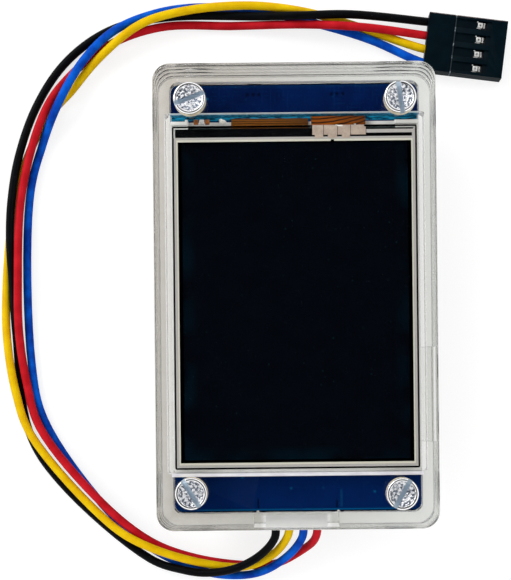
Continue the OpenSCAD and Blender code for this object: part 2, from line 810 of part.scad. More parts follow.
// A flex that leaves the display at one height, bends round the tray and lies on the board
module folded_flex(x, width, z_out, start_y, bend_y) {
    outer = (z_out + flex_t - z_board_top) / 2;
    mid = z_board_top + outer;
    translate([x - width / 2, 0, 0]) {
        block([0, start_y, z_out], [width, bend_y, z_out + flex_t]);
        block([0, bend_y - flex_reach, z_board_top], [width, bend_y, z_board_top + flex_t]);
        translate([0, bend_y, mid]) rotate([90, 0, 90]) linear_extrude(width) difference() {
            circle(outer, $fn = fine);
            circle(outer - flex_t, $fn = fine);
            translate([-2 * outer, -2 * outer]) square([2 * outer, 4 * outer]);
        }
    }
}

module display_flex() {
    color([0.45, 0.26, 0.08])
        folded_flex(lcd_flex_x, lcd_flex_w, z_front_glass, cell_north - 0.5 + skin, lcd_bend_y);
}

// ---- Touch panel ----

// A flat frame with its outer edges given, in the plane of z = 0
module border(half_w, south, north, width) {
    difference() {
        translate([-half_w, south]) square([2 * half_w, north - south]);
        translate([-half_w + width, south + width])
            square([2 * (half_w - width), north - south - 2 * width]);
    }
}

module touch_bond() {
    color([0.9, 0.9, 0.88, 0.8]) translate([0, 0, z_bond]) linear_extrude(touch_bond_t)
        border(cell_w / 2, cell_south, cell_north - ledge_l, 1);
}

module touch_glass() {
    color([0.7, 0.8, 0.8, 0.3]) translate([0, 0, z_touch]) linear_extrude(touch_glass_t)
        translate([0, (touch_south + touch_north) / 2])
            rounded(touch_w, touch_north - touch_south, 0.3);
}

// The printed silver tracks on the touch glass
module touch_tracks() {
    half = touch_w / 2 - frame_inset;
    track_t = 0.04;
    lane = 0.6;
    lane_x = touch_flex_x + touch_flex_w / 2 + 0.1;
    color([0.75, 0.73, 0.65]) translate([0, 0, z_tracks]) linear_extrude(track_t) {
        border(half, touch_south + frame_inset, frame_top, track_w);
        // the second lane beside the flex, joined to the right-hand side
        translate([lane_x, frame_top + lane]) square([half - lane_x, lane]);
        translate([half - lane, frame_top - skin]) square([lane, lane + 2 * skin]);
    }
}

// The clear seal between the glass and the film, outside the tracks
module touch_seal() {
    color([0.9, 0.9, 0.85, 0.5]) translate([0, 0, z_tracks]) linear_extrude(flex_t) difference() {
        border(touch_w / 2, touch_south, touch_north, frame_inset - 0.05);
        translate([touch_flex_x - touch_flex_w / 2 - 0.05, touch_north - 1])
            square([touch_flex_w + 0.1, 2]);
    }
}

module touch_film() {
    color([0.75, 0.8, 0.82, 0.3]) translate([0, 0, z_film]) linear_extrude(touch_film_t)
        translate([0, (touch_south + touch_north) / 2])
            rounded(touch_w, touch_north - touch_south, 0.3);
}

// The touch flex, with three fingers that reach the tracks
module touch_flex() {
    fingers = 3;
    finger_w = 1.6;
    finger_gap = 2.4;
    start = frame_top + 0.2;
    color([0.7, 0.4, 0.1]) {
        folded_flex(touch_flex_x, touch_flex_w, z_tracks, touch_north - 1.1, touch_bend_y);
        for (i = [0 : fingers - 1])
            translate([touch_flex_x - touch_flex_w / 2 + 0.5 + i * finger_gap, 0, 0])
                block([0, start, z_tracks], [finger_w, touch_north - 1.1, z_tracks + flex_t]);
    }
}

// ---- Far end of the lead ----

module at_socket() {
    translate([socket_x, socket_y, 0]) rotate(socket_turn) children();
}

// A single-row housing: wires enter at -X, and the pins that it fits on enter at +X
module socket_housing() {
    half = socket_l / 2;
    cell = contact;
    lip = 1;
    entry = 1;
    channel = 0.35;
    color([0.06, 0.07, 0.08]) at_socket() difference() {
        translate([-half, -socket_w / 2, 0]) cube([socket_l, socket_w, socket_h]);
        for (i = [0 : ways - 1]) translate([0, socket_lane(i), 0]) {
            translate([-half - skin, 0, socket_mid]) rotate([0, 90, 0])
                cylinder(h = 3.5, d = barrel_d, $fn = 24);
            block([-half + 3, -cell / 2, socket_mid - cell / 2],
                  [half - lip, cell / 2, socket_mid + cell / 2]);
            block([half - lip - skin, -entry / 2, socket_mid - entry / 2],
                  [half + skin, entry / 2, socket_mid + entry / 2]);
            // the recessed channel and the window of the locking tongue
            block([-half + 5, -0.8, socket_h - channel], [half - 2.8, 0.8, socket_h + skin]);
            block([half - 5, -0.8, socket_mid], [half - 3.6, 0.8, socket_h + skin]);
        }
        // the step across the top at the wire end
        block([-half + 4.6, -socket_w / 2 - skin, socket_h - 0.15],
              [-half + 5, socket_w / 2 + skin, socket_h + skin]);
    }
}

function socket_lane(i) = ((ways - 1) / 2 - i) * socket_pitch;

module socket_contacts() {
    half = socket_l / 2;
    color("silver") at_socket() for (i = [0 : ways - 1]) translate([0, socket_lane(i), 0])
        difference() {
            union() {
                translate([-half, 0, socket_mid]) rotate([0, 90, 0])
                    cylinder(h = 3, d = barrel_d, $fn = 24);
                block([-half + 3, -contact / 2, socket_mid - contact / 2],
                      [half - 1.4, contact / 2, socket_mid + contact / 2]);
            }
            block([-half + 7, -pin / 2, socket_mid - pin / 2], [half, pin / 2, socket_mid + pin / 2]);
        }
}

// ---- Wires ----

function unit(v) = v / norm(v);

// Where a wire meets the socket and the plug
function socket_point(i) = let (x = -socket_l / 2, y = socket_lane(i))
    [socket_x + x * cos(socket_turn) - y * sin(socket_turn),
     socket_y + x * sin(socket_turn) + y * cos(socket_turn), socket_mid];

function plug_point(i) = [way_x(i), plug_face, wire_z];

// A route moved with the case's sides, and raised for a thicker wire
function placed(route) = [for (p = route) [p[0] * case_w / route_w, p[1] * case_l / route_l,
    p[2] + (wire_d - route_wire_d) / 2]];

// One ring of points square to a direction
function ring(centre, along, r, sides) = let (
        across = unit(cross(along, [0, 0, 1])),
        up = cross(across, along))
    [for (k = [0 : sides - 1]) let (a = 360 * (k + 0.5) / sides)
        centre + r * (cos(a) * across + sin(a) * up)];

// A tube swept through its points, square to the faces that it starts and ends on
module tube(points, start, end) {
    sides = 8;
    last = len(points) - 1;
    along = [for (i = [0 : last]) i == 0 ? start : i == last ? end :
        unit(unit(points[i + 1] - points[i]) + unit(points[i] - points[i - 1]))];
    rings = [for (i = [0 : last]) each ring(points[i], along[i], wire_d / 2, sides)];
    skin_faces = [for (i = [0 : last - 1], k = [0 : sides - 1]) let (
            a = i * sides + k, b = i * sides + (k + 1) % sides)
        each [[a, b, a + sides], [b, b + sides, a + sides]]];
    caps = [[for (k = [sides - 1 : -1 : 0]) k], [for (k = [0 : sides - 1]) last * sides + k]];
    polyhedron(points = rings, faces = concat(skin_faces, caps), convexity = 10);
}

// A wire from one way of the plug to one way of the socket
module wire(way, route, socket_way) {
    tube(concat([plug_point(way)], placed(route), [socket_point(socket_way)]),
         [0, -1, 0], [cos(socket_turn), sin(socket_turn), 0]);
}

module wire_black() { color([0.05, 0.05, 0.06]) wire(0, black_route, 0); }
module wire_yellow() { color([0.93, 0.78, 0.05]) wire(1, yellow_route, 2); }
module wire_blue() { color([0.05, 0.2, 0.8]) wire(2, blue_route, 3); }
module wire_red() { color([0.8, 0.12, 0.15]) wire(3, red_route, 1); }

front_panel();
board_ring();
slotted_ring();
corner_piece();
lower_ring();
back_panel();
case_screws();
case_nuts();
panel_spacers();
circuit_board();
graphics_chip();
microcontroller();
flash_memory();
crystal();
regulator();
inductor();
chip_capacitors();
chip_resistors();
card_socket_base();
card_socket_shell();
card_socket_contacts();
cable_header();
header_pins();
foam_tapes();
backlight_tray();
reflector();
light_guide();
backlight_leds();
backlight_flex();
optical_films();
rear_polarizer();
rear_glass();
front_glass();
front_polarizer();
driver_chip();
ledge_tape();
display_flex();
touch_bond();
touch_glass();
touch_tracks();
touch_seal();
touch_film();
touch_flex();
cable_plug();
plug_contacts();
wire_black();
wire_yellow();
wire_blue();
wire_red();
socket_housing();
socket_contacts();
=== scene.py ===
import math
import bmesh
import bpy
from mathutils import Matrix, Vector


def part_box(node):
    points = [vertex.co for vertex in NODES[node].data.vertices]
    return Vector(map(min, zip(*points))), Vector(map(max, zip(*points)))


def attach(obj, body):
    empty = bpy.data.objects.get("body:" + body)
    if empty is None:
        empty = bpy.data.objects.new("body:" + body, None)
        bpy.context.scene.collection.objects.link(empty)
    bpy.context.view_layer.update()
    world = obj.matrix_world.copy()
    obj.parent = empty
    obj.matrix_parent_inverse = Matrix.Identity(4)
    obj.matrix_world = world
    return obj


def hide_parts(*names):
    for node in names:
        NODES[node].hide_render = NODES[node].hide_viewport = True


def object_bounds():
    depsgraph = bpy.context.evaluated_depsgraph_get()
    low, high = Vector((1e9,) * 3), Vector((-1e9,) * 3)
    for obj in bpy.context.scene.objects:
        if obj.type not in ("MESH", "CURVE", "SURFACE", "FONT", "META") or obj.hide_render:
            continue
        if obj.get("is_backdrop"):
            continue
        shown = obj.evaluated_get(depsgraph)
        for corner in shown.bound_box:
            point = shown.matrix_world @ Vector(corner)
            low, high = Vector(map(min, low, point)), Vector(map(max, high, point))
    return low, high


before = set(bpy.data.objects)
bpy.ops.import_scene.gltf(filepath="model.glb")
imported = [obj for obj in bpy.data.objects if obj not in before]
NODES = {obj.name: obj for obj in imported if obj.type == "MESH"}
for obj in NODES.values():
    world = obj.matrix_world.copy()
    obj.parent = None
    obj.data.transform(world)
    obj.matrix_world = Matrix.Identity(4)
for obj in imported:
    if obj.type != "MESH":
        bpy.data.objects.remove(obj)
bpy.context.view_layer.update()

scene = bpy.context.scene
scene.view_settings.view_transform = "Standard"
MM = 0.001
SOCKET_TURN = math.radians(-7.5)


# ---- Camera ----

# Looking straight down from over the case's lower half, turned a little
camera_data = bpy.data.cameras.new("camera")
camera_data.lens = 68.99
camera_data.sensor_width = 36
camera_data.shift_x = -0.0716
camera_data.shift_y = 0.1759
camera_data.clip_start = 0.01
camera_data.clip_end = 20
camera = bpy.data.objects.new("camera", camera_data)
camera.location = (0, -0.01641, 0.2064)
camera.rotation_euler = (0, 0, math.radians(-0.6))
scene.collection.objects.link(camera)
scene.camera = camera


# ---- Material nodes ----

SHORT = {"color": "Base Color", "rough": "Roughness", "metal": "Metallic", "ior": "IOR",
         "spec": "Specular IOR Level", "clear": "Transmission Weight", "normal": "Normal"}


class Finish:
    """A node material round one Principled shader, in millimetres of the row frame."""

    def __init__(self, name, **fixed):
        self.data = bpy.data.materials.new(name)
        self.data.use_nodes = True
        self.tree = self.data.node_tree
        self.shader = self.tree.nodes["Principled BSDF"]
        self.set(**fixed)

    def set(self, **values):
        for key, value in values.items():
            self.feed(self.shader.inputs[SHORT[key]], value)
        return self

    def feed(self, socket, value):
        if isinstance(value, bpy.types.NodeSocket):
            self.tree.links.new(value, socket)
        elif socket.type == "RGBA" and len(value) == 3:
            socket.default_value = (*value, 1)
        else:
            socket.default_value = value

    def node(self, kind, inputs=(), out=0, **props):
        made = self.tree.nodes.new("ShaderNode" + kind)
        for key, value in props.items():
            setattr(made, key, value)
        for key, value in dict(inputs).items():
            self.feed(made.inputs[key], value)
        return made.outputs[out]

    def place(self, stretch=(1, 1, 1)):
        spot = self.tree.nodes.new("ShaderNodeTexCoord").outputs["Object"]
        return self.node("Mapping", {"Vector": spot, "Scale": [s / MM for s in stretch]})

    def axes(self, spot=None):
        made = self.tree.nodes.new("ShaderNodeSeparateXYZ")
        self.feed(made.inputs[0], self.place() if spot is None else spot)
        return made.outputs

    def upright(self):
        """1 where the surface faces up or down, and 0 on a standing wall."""
        split = self.axes(self.tree.nodes.new("ShaderNodeTexCoord").outputs["Normal"])
        return self.math("ABSOLUTE", split[2])

    def noise(self, scale, detail=3, rough=0.5, stretch=(1, 1, 1)):
        return self.node("TexNoise", {"Vector": self.place(stretch), "Scale": scale,
                                      "Detail": detail, "Roughness": rough})

    def specks(self, scale, size):
        """1 in small round specks, with that many cells to a millimetre."""
        gap = self.node("TexVoronoi", {"Vector": self.place(), "Scale": scale})
        return self.span(gap, size, size * 0.6)

    def span(self, value, low, high, a=0.0, b=1.0, smooth=False):
        return self.node("MapRange", {"Value": value, "From Min": low, "From Max": high,
                                      "To Min": a, "To Max": b},
                         interpolation_type="SMOOTHSTEP" if smooth else "LINEAR")

    def math(self, operation, a, b=0.0):
        return self.node("Math", {0: a, 1: b}, operation=operation)

    def both(self, a, b):
        return self.math("MULTIPLY", a, b)

    def inside(self, value, low, high, soft=0.05):
        """1 between two limits, with soft edges."""
        return self.both(self.span(value, low - soft, low + soft),
                         self.span(value, high + soft, high - soft))

    def mix(self, factor, a, b):
        made = self.tree.nodes.new("ShaderNodeMix")
        made.data_type = "RGBA"
        self.feed(made.inputs[0], factor)
        self.feed(made.inputs[6], a)
        self.feed(made.inputs[7], b)
        return made.outputs[2]

    def bump(self, height, depth, strength=1.0):
        """Relief of that depth in mm."""
        return self.node("Bump", {"Height": height, "Distance": depth * MM,
                                  "Strength": strength})


# ---- Materials ----

def plastic(name, light, dark, rough=0.35, grain=1.2, depth=0.01, **fixed):
    """Moulded plastic: mottled colour, uneven gloss, a fine grain and a few dust specks."""
    m = Finish(name, **fixed)
    wide = m.noise(grain * 0.35, 2)
    fine = m.noise(grain * 6, 4)
    dust = m.both(m.specks(0.9, 0.09), 0.35)
    body = m.mix(m.span(wide, 0.35, 0.65), dark, light)
    m.set(color=m.mix(dust, body, [min(1, c * 1.6 + 0.05) for c in light]),
          rough=m.span(fine, 0.3, 0.7, rough * 0.85, rough * 1.25),
          normal=m.bump(m.math("ADD", wide, m.both(fine, 0.4)), depth))
    return m


def metal(name, light, dark, rough=0.25):
    """Plated sheet metal: drawn grain, dull patches and fine scratches."""
    m = Finish(name, metal=1.0)
    wide = m.noise(0.8, 3)
    fine = m.noise(10, 4)
    drawn = m.noise(6, 2, stretch=(0.15, 3, 1))
    m.set(color=m.mix(m.span(wide, 0.35, 0.65), dark, light),
          rough=m.span(fine, 0.3, 0.7, rough * 0.7, rough * 1.4),
          normal=m.bump(m.math("ADD", fine, m.both(drawn, 0.6)), 0.006))
    return m


def acrylic():
    """Clear cast sheet: polished faces, and frosted cut edges with a laser's upright lines. The
    grey tint of its faces is painted shade, and some of its walls and bevels are painted
    highlights.
    """
    m = Finish("clear_acrylic", ior=1.49)
    x, y, z = m.axes()
    flat = m.span(m.upright(), 0.92, 0.985)
    haze = m.noise(0.35, 3)
    cuts = m.noise(5.0, 3, stretch=(1, 1, 0.05))
    ripple = m.noise(1.1, 2, stretch=(1, 1, 0.3))
    # Painted shade: the tint is the grey of the shaded floor seen through the sheet, darker to the
    # south and the west
    warm = m.mix(m.span(y, -36, 38), (0.455, 0.435, 0.385), (0.52, 0.48, 0.42))
    tint = m.mix(m.span(x, -24, 24, smooth=True), warm, (0.72, 0.735, 0.70))
    tint = m.mix(m.span(haze, 0.35, 0.7, 0.0, 0.2), tint, (0.82, 0.81, 0.79))
    # Less painted shade over the plug, so that it shows paler
    over_plug = m.both(m.inside(x, -6.2, 5.6, 0.3), m.inside(y, -40, -37.4, 0.2))
    tint = m.mix(m.both(over_plug, 0.9), tint, (0.97, 0.98, 0.99))
    wall = m.mix(m.span(cuts, 0.35, 0.65), (0.93, 0.93, 0.91), (0.985, 0.985, 0.975))
    # Painted highlight: the walls of the opening for the board are bright and opaque, and so is
    # the window's south wall
    across = m.math("ABSOLUTE", x)
    along = m.math("ABSOLUTE", y)
    edge = m.math("MAXIMUM", m.both(m.inside(along, 37.15, 37.45), m.span(across, 21.7, 21.6)),
                  m.both(m.inside(across, 21.4, 21.7), m.span(along, 37.45, 37.35)))
    edge = m.both(edge, m.inside(z, 12.1, 13.3))
    edge = m.math("MAXIMUM", edge, m.both(m.inside(y, -30.3, -30.1), m.span(across, 22.3, 22.2)))
    # The window's north wall: cyan below a pale rim, both a painted refraction of the blue board
    # seen through it
    north = m.both(m.inside(y, 31.3, 31.5), m.span(across, 21.5, 21.3))
    streak = m.span(m.noise(3.5, 4, 0.7, stretch=(0.5, 1, 1.4)), 0.48, 0.6)
    low = m.mix(streak, (0.004, 0.14, 0.30), (0.10, 0.58, 0.85))
    high = m.mix(streak, (0.72, 0.90, 0.96), (1.0, 1.0, 1.0))
    wall = m.mix(edge, wall, (0.97, 0.97, 0.98))
    wall = m.mix(north, wall, m.mix(m.span(z, 15.2, 15.4), low, high))
    # A dull pink line at the north seam
    seam = m.both(m.inside(z, 13.25, 13.55), m.inside(y, 39.2, 41))
    seam = m.both(seam, m.inside(x, -14, 8, 1.5))
    wall = m.mix(m.both(seam, 0.8), wall, (0.42, 0.16, 0.27))
    # Only the outer flat faces carry the painted shade, and it is paler near each edge
    outer = m.math("MAXIMUM", m.span(z, 16.2, 16.3), m.span(z, 2.6, 2.5))
    tint = m.mix(outer, (0.99, 0.99, 0.985), tint)
    scuff = m.specks(0.45, 0.07)
    tint = m.mix(m.both(scuff, 0.5), tint, (0.95, 0.95, 0.95))
    # The strip beside the window's south side
    sill = m.both(m.both(m.inside(y, -30.75, -30.2, 0.03), m.span(across, 21.6, 21.5)),
                  m.span(z, 16, 16.2))
    smear = m.span(m.noise(1.1, 3, stretch=(0.3, 1, 1)), 0.35, 0.65)
    tint = m.mix(sill, tint, m.mix(smear, (0.80, 0.78, 0.85), (0.98, 0.98, 1.0)))
    rim = m.math("MINIMUM", m.math("SUBTRACT", 24.25, across), m.math("SUBTRACT", 40.0, along))
    tint = m.mix(m.span(rim, 2.6, 1.2, 0.0, 0.25), tint, (0.9, 0.9, 0.87))
    solid = m.math("MAXIMUM", m.both(sill, 0.85),
                   m.both(m.math("SUBTRACT", 1.0, flat),
                          m.span(m.math("MAXIMUM", edge, north), 0, 1, 0.04, 0.95)))
    # Painted highlight: the bevels between faces are pale and mostly opaque
    lip = m.inside(m.upright(), 0.45, 0.88, 0.05)
    solid = m.math("MAXIMUM", solid, m.both(lip, 0.75))
    m.set(color=m.mix(lip, m.mix(flat, wall, tint), (0.93, 0.93, 0.91)),
          clear=m.math("SUBTRACT", 1.0, solid),
          rough=m.span(flat, 0.0, 1.0, 0.20, 0.02),
          normal=m.bump(m.both(m.math("ADD", cuts, ripple), m.math("SUBTRACT", 1.0, flat)),
                        0.03, 0.3))
    return m


def board():
    """Blue solder mask over copper: traces and vias show as a faint relief and lighter blue."""
    m = Finish("board_blue", spec=0.06)
    x, y, z = m.axes()
    cell = m.node("VectorMath", {0: m.place((1.35, 1.35, 0))}, operation="FLOOR")
    part = m.node("VectorMath", {0: m.place((1.35, 1.35, 0))}, operation="FRACTION")
    px, py, pz = m.axes(part)
    choice = m.node("TexWhiteNoise", {"Vector": cell}, out="Value")
    along = m.both(m.inside(py, 0.42, 0.58, 0.03), m.math("LESS_THAN", choice, 0.32))
    across = m.both(m.inside(px, 0.42, 0.58, 0.03), m.inside(choice, 0.32, 0.6, 0.001))
    reach = m.math("SQRT", m.math("ADD", m.math("POWER", m.math("SUBTRACT", px, 0.5), 2.0),
                                  m.math("POWER", m.math("SUBTRACT", py, 0.5), 2.0)))
    via = m.both(m.span(reach, 0.24, 0.2), m.inside(choice, 0.6, 0.66, 0.001))
    copper = m.math("MAXIMUM", m.math("MAXIMUM", along, across), via)
    pour = m.span(m.noise(0.12, 2), 0.46, 0.54)
    mask = m.mix(m.span(m.noise(0.5, 3), 0.3, 0.7), (0.0003, 0.008, 0.066), (0.0004, 0.012, 0.088))
    mask = m.mix(m.both(pour, 0.25), mask, (0.0005, 0.021, 0.15))
    mask = m.mix(m.both(copper, m.span(m.noise(0.3, 1), 0.4, 0.6, 0.05, 0.35)), mask,
                 (0.001, 0.055, 0.19))
    mask = m.mix(m.span(y, -28, -31, 0.0, 0.6), mask, (0.0004, 0.021, 0.130))
    # The strip that shows between the tray and the front panel
    gap = m.inside(y, 31.1, 32.1)
    glint = m.noise(1.6, 4, 0.6, stretch=(0.35, 2.5, 1))
    mask = m.mix(gap, mask, m.mix(m.span(glint, 0.42, 0.56), (0.001, 0.02, 0.05),
                                  (0.012, 0.27, 0.46)))
    # A blue line near the south end, and painted shade on the cut ends, for the gap beside the
    # case
    ends = m.math("ABSOLUTE", y)
    line = m.both(m.inside(y, -36.92, -36.72, 0.04), m.inside(m.math("ABSOLUTE", x), 0, 17, 1))
    mask = m.mix(m.both(line, 0.8), mask, (0.001, 0.13, 0.32))
    glow = m.both(m.span(ends, 36.4, 36.9), 0.25)
    mask = m.mix(glow, mask, (0.001, 0.05, 0.16))
    mask = m.mix(m.both(m.span(ends, 36.95, 37.05), 0.95), mask, (0.0002, 0.0006, 0.002))
    # Rows of dots and dashed lines by the break-off tabs
    for at in (-7.1, 7.5):
        off = m.math("SUBTRACT", x, at)
        step = m.math("SUBTRACT", off, m.math("ROUND", off))
        dot = m.both(m.span(m.math("ABSOLUTE", step), 0.34, 0.2), m.inside(off, -1.4, 1.4))
        mask = m.mix(m.both(m.both(dot, m.inside(y, 35.1, 35.7, 0.15)), 0.75), mask,
                     (0.0005, 0.002, 0.012))
    for at in (-6.95, 6.75):
        dash = m.both(m.inside(x, at - 0.13, at + 0.13, 0.06), m.inside(y, -36.6, -34.9, 0.1))
        gaps = m.span(m.noise(1.3, 1), 0.42, 0.5)
        mask = m.mix(m.both(m.both(dash, gaps), 0.9), mask, (0.0003, 0.001, 0.006))
    faint = m.both(m.inside(x, 7.35, 7.75, 0.08), m.inside(y, -36.4, -33.4, 0.2))
    mask = m.mix(m.both(faint, 0.3), mask, (0.003, 0.10, 0.25))
    flecks = m.both(m.specks(0.42, 0.12), 0.8)
    mask = m.mix(flecks, mask, (0.004, 0.13, 0.30))
    # Painted shade: the board's standing edges are near black, for the gap beside the case
    edge = m.span(m.upright(), 0.5, 0.3)
    m.set(color=m.mix(edge, mask, (0.004, 0.005, 0.004)),
          rough=m.span(m.noise(3, 3), 0.3, 0.7, 0.28, 0.42),
          normal=m.bump(m.math("ADD", copper, m.both(m.noise(4, 3), 0.2)), 0.006, 0.5))
    return m


def screw_metal():
    """A turned head: rings left by the tool, and mottled plating whose dark blotches are a painted
    reflection, with a slot floor and a warm side that are painted reflections too.
    """
    m = Finish("screw_nickel")
    x, y, z = m.axes()
    radius = m.math("SQRT", m.math("ADD", m.both(x, x), m.both(y, y)))
    blotch = m.noise(2.1, 4, 0.6)
    waver = m.noise(0.9, 2)
    rings = m.math("SINE", m.math("ADD", m.both(radius, 15.0), m.both(waver, 8.0)))
    pits = m.noise(5.0, 4, 0.7)
    face = m.span(radius, 2.3, 2.1)
    slot = m.span(z, 1.7, 1.2)
    relief = m.math("ADD", m.both(rings, m.span(blotch, 0.42, 0.62, 0.1, 1.0)),
                    m.both(pits, 3.0))
    # Painted reflection: the dark blotches on the face
    dark = m.mix(m.span(blotch, 0.42, 0.56), (0.13, 0.155, 0.205), (0.84, 0.85, 0.88))
    body = m.mix(face, (0.90, 0.90, 0.91), dark)
    # Painted reflection: the slot's pale blue floor
    body = m.mix(slot, body, (0.52, 0.62, 0.72))
    # Painted reflection: the warm side of the head
    side = m.both(m.span(m.upright(), 0.35, 0.15), m.span(radius, 2.5, 2.7))
    m.set(color=m.mix(side, body, (0.95, 0.86, 0.64)), metal=m.span(side, 0, 1, 1.0, 0.45),
          rough=m.mix(m.math("MAXIMUM", face, slot), (0.14,) * 3,
                      m.mix(slot, m.span(blotch, 0.35, 0.65, 0.14, 0.34), (0.5,) * 3)),
          normal=m.bump(m.both(relief, face), 0.03))
    return m


def flex(name, light, dark, pitch, curl, centre, shade):
    """Amber film over copper tracks, which run across the bend and curl away from a point."""
    m = Finish(name, spec=0.08)
    x, y, z = m.axes()
    off = m.math("SUBTRACT", x, centre)
    lane = m.math("SUBTRACT", y, m.both(m.both(off, off), curl))
    lane = m.math("ADD", lane, m.both(m.noise(0.8, 2), 0.25))
    wave = m.math("SINE", m.both(lane, 2 * math.pi / pitch))
    track = m.span(wave, -0.75, -0.2)
    fine = m.noise(2.4, 3, stretch=(0.25, 3, 3))
    body = m.mix(m.span(fine, 0.35, 0.65), [c * 0.72 for c in light], light)
    body = m.mix(track, dark, body)
    body = m.mix(m.both(m.span(x, *shade), 0.6), body, dark)
    m.set(color=body, rough=m.span(fine, 0.3, 0.7, 0.25, 0.45),
          normal=m.bump(m.math("ADD", track, fine), 0.02))
    return m


def ink():
    """Silver ink: a cream track with a greyer band along its outer side, which is a painted shadow
    of the track.
    """
    m = Finish("silver_ink", spec=0.3)
    x, y, z = m.axes()
    side = m.math("SUBTRACT", 20.65, m.math("ABSOLUTE", x))
    end = m.math("MINIMUM", m.math("SUBTRACT", 27.35, y), m.math("ADD", y, 29.2))
    depth = m.math("MINIMUM", side, end)
    inner = m.span(depth, 0.30, 0.40)
    split = m.inside(depth, 0.30, 0.38, 0.02)
    grain = m.noise(9, 4, 0.7)
    cream = m.mix(m.span(grain, 0.3, 0.7), (0.52, 0.50, 0.41), (0.74, 0.72, 0.62))
    # Painted shadow: the greyer outer band beside the track
    shadow_grey = m.mix(m.span(grain, 0.3, 0.7), (0.37, 0.35, 0.33), (0.54, 0.51, 0.49))
    body = m.mix(inner, shadow_grey, cream)
    m.set(color=m.mix(m.both(split, 0.45), body, (0.16, 0.15, 0.13)), rough=0.55,
          normal=m.bump(grain, 0.015))
    return m


def panel():
    """The dark panel: nearly black, a little bluer along its edges, with faint teal specks."""
    m = Finish("panel_black", rough=0.12, spec=0.1)
    x, y, z = m.axes()
    rim = m.math("MINIMUM", m.math("SUBTRACT", 20.45, m.math("ABSOLUTE", x)),
                 m.math("SUBTRACT", 29.0, m.math("ABSOLUTE", y)))
    sheen = m.both(m.span(rim, 3.5, 0.0), m.span(m.noise(0.12, 3), 0.42, 0.62))
    body = m.mix(m.noise(0.25, 4), (0.0009, 0.0016, 0.0034), (0.0018, 0.003, 0.0052))
    body = m.mix(m.both(sheen, 0.8), body, (0.001, 0.012, 0.022))
    specks = m.both(m.specks(0.7, 0.11), m.span(m.noise(0.35, 2), 0.48, 0.6))
    m.set(color=m.mix(m.both(specks, 0.7), body, (0.0035, 0.022, 0.028)),
          normal=m.bump(m.noise(0.8, 2), 0.004))
    return m


def socket_plastic():
    """Black moulding with a few worn specks and a painted highlight along its step, brightest on
    the ribs' ends.
    """
    m = Finish("socket_black", spec=0.03)
    x, y, z = m.axes()
    low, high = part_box("socket_housing")
    east = m.math("SUBTRACT", x, (low.x + high.x) / 2 / MM)
    north = m.math("SUBTRACT", y, (low.y + high.y) / 2 / MM)
    c, s = math.cos(SOCKET_TURN), math.sin(SOCKET_TURN)
    along = m.math("ADD", m.both(east, c), m.both(north, s))
    over = m.math("SUBTRACT", m.both(north, c), m.both(east, s))
    lane = m.math("DIVIDE", over, 2.64)
    rib = m.span(m.math("ABSOLUTE", m.math("SUBTRACT", lane, m.math("ROUND", lane))), 0.2, 0.12)
    grain = m.noise(7, 4, 0.6)
    broken = m.span(m.noise(2.2, 3), 0.4, 0.6)
    wear = m.both(m.specks(1.4, 0.12), m.span(m.noise(0.6, 2), 0.5, 0.65))
    body = m.mix(m.span(m.noise(0.5, 3), 0.3, 0.7), (0.0006, 0.0042, 0.0075),
                 (0.0012, 0.0075, 0.0115))
    body = m.mix(m.both(wear, 0.35), body, (0.02, 0.045, 0.06))
    # Painted highlight along the step's edge, brightest on the ribs' ends
    step = m.both(m.inside(along, -2.62, -2.44, 0.04), m.span(m.both(rib, broken), 0, 1, 0.1, 0.9))
    body = m.mix(step, body, (0.30, 0.36, 0.40))
    rim = m.both(m.inside(over, 5.12, 5.4, 0.04), m.span(broken, 0, 1, 0.25, 0.7))
    body = m.mix(rim, body, (0.30, 0.24, 0.23))
    m.set(color=body, rough=m.span(grain, 0.3, 0.7, 0.38, 0.55),
          normal=m.bump(grain, 0.012))
    return m


def wire_skin(name, light, dark, rough=0.38):
    """Soft PVC with slight extrusion lines, smudges and dust."""
    m = Finish(name, spec=0.06)
    smudge = m.noise(0.35, 3)
    grain = m.noise(5, 3)
    dust = m.both(m.specks(0.8, 0.08), 0.3)
    body = m.mix(m.span(smudge, 0.35, 0.65), dark, light)
    m.set(color=m.mix(dust, body, [min(1, c * 1.3 + 0.1) for c in light]),
          rough=m.span(grain, 0.3, 0.7, rough * 0.85, rough * 1.2),
          normal=m.bump(m.math("ADD", m.both(smudge, 2.0), grain), 0.012))
    return m


def clear_sheet(name, tint, rough):
    """Glass or film that barely bends what lies under it, with faint smears."""
    m = Finish(name, clear=1.0, ior=1.15, spec=0.5)
    smear = m.noise(0.2, 4)
    m.set(color=m.mix(m.span(smear, 0.3, 0.7), [c * 0.97 for c in tint], tint),
          rough=m.span(smear, 0.4, 0.8, rough, rough + 0.05),
          normal=m.bump(m.noise(0.5, 2), 0.003))
    return m


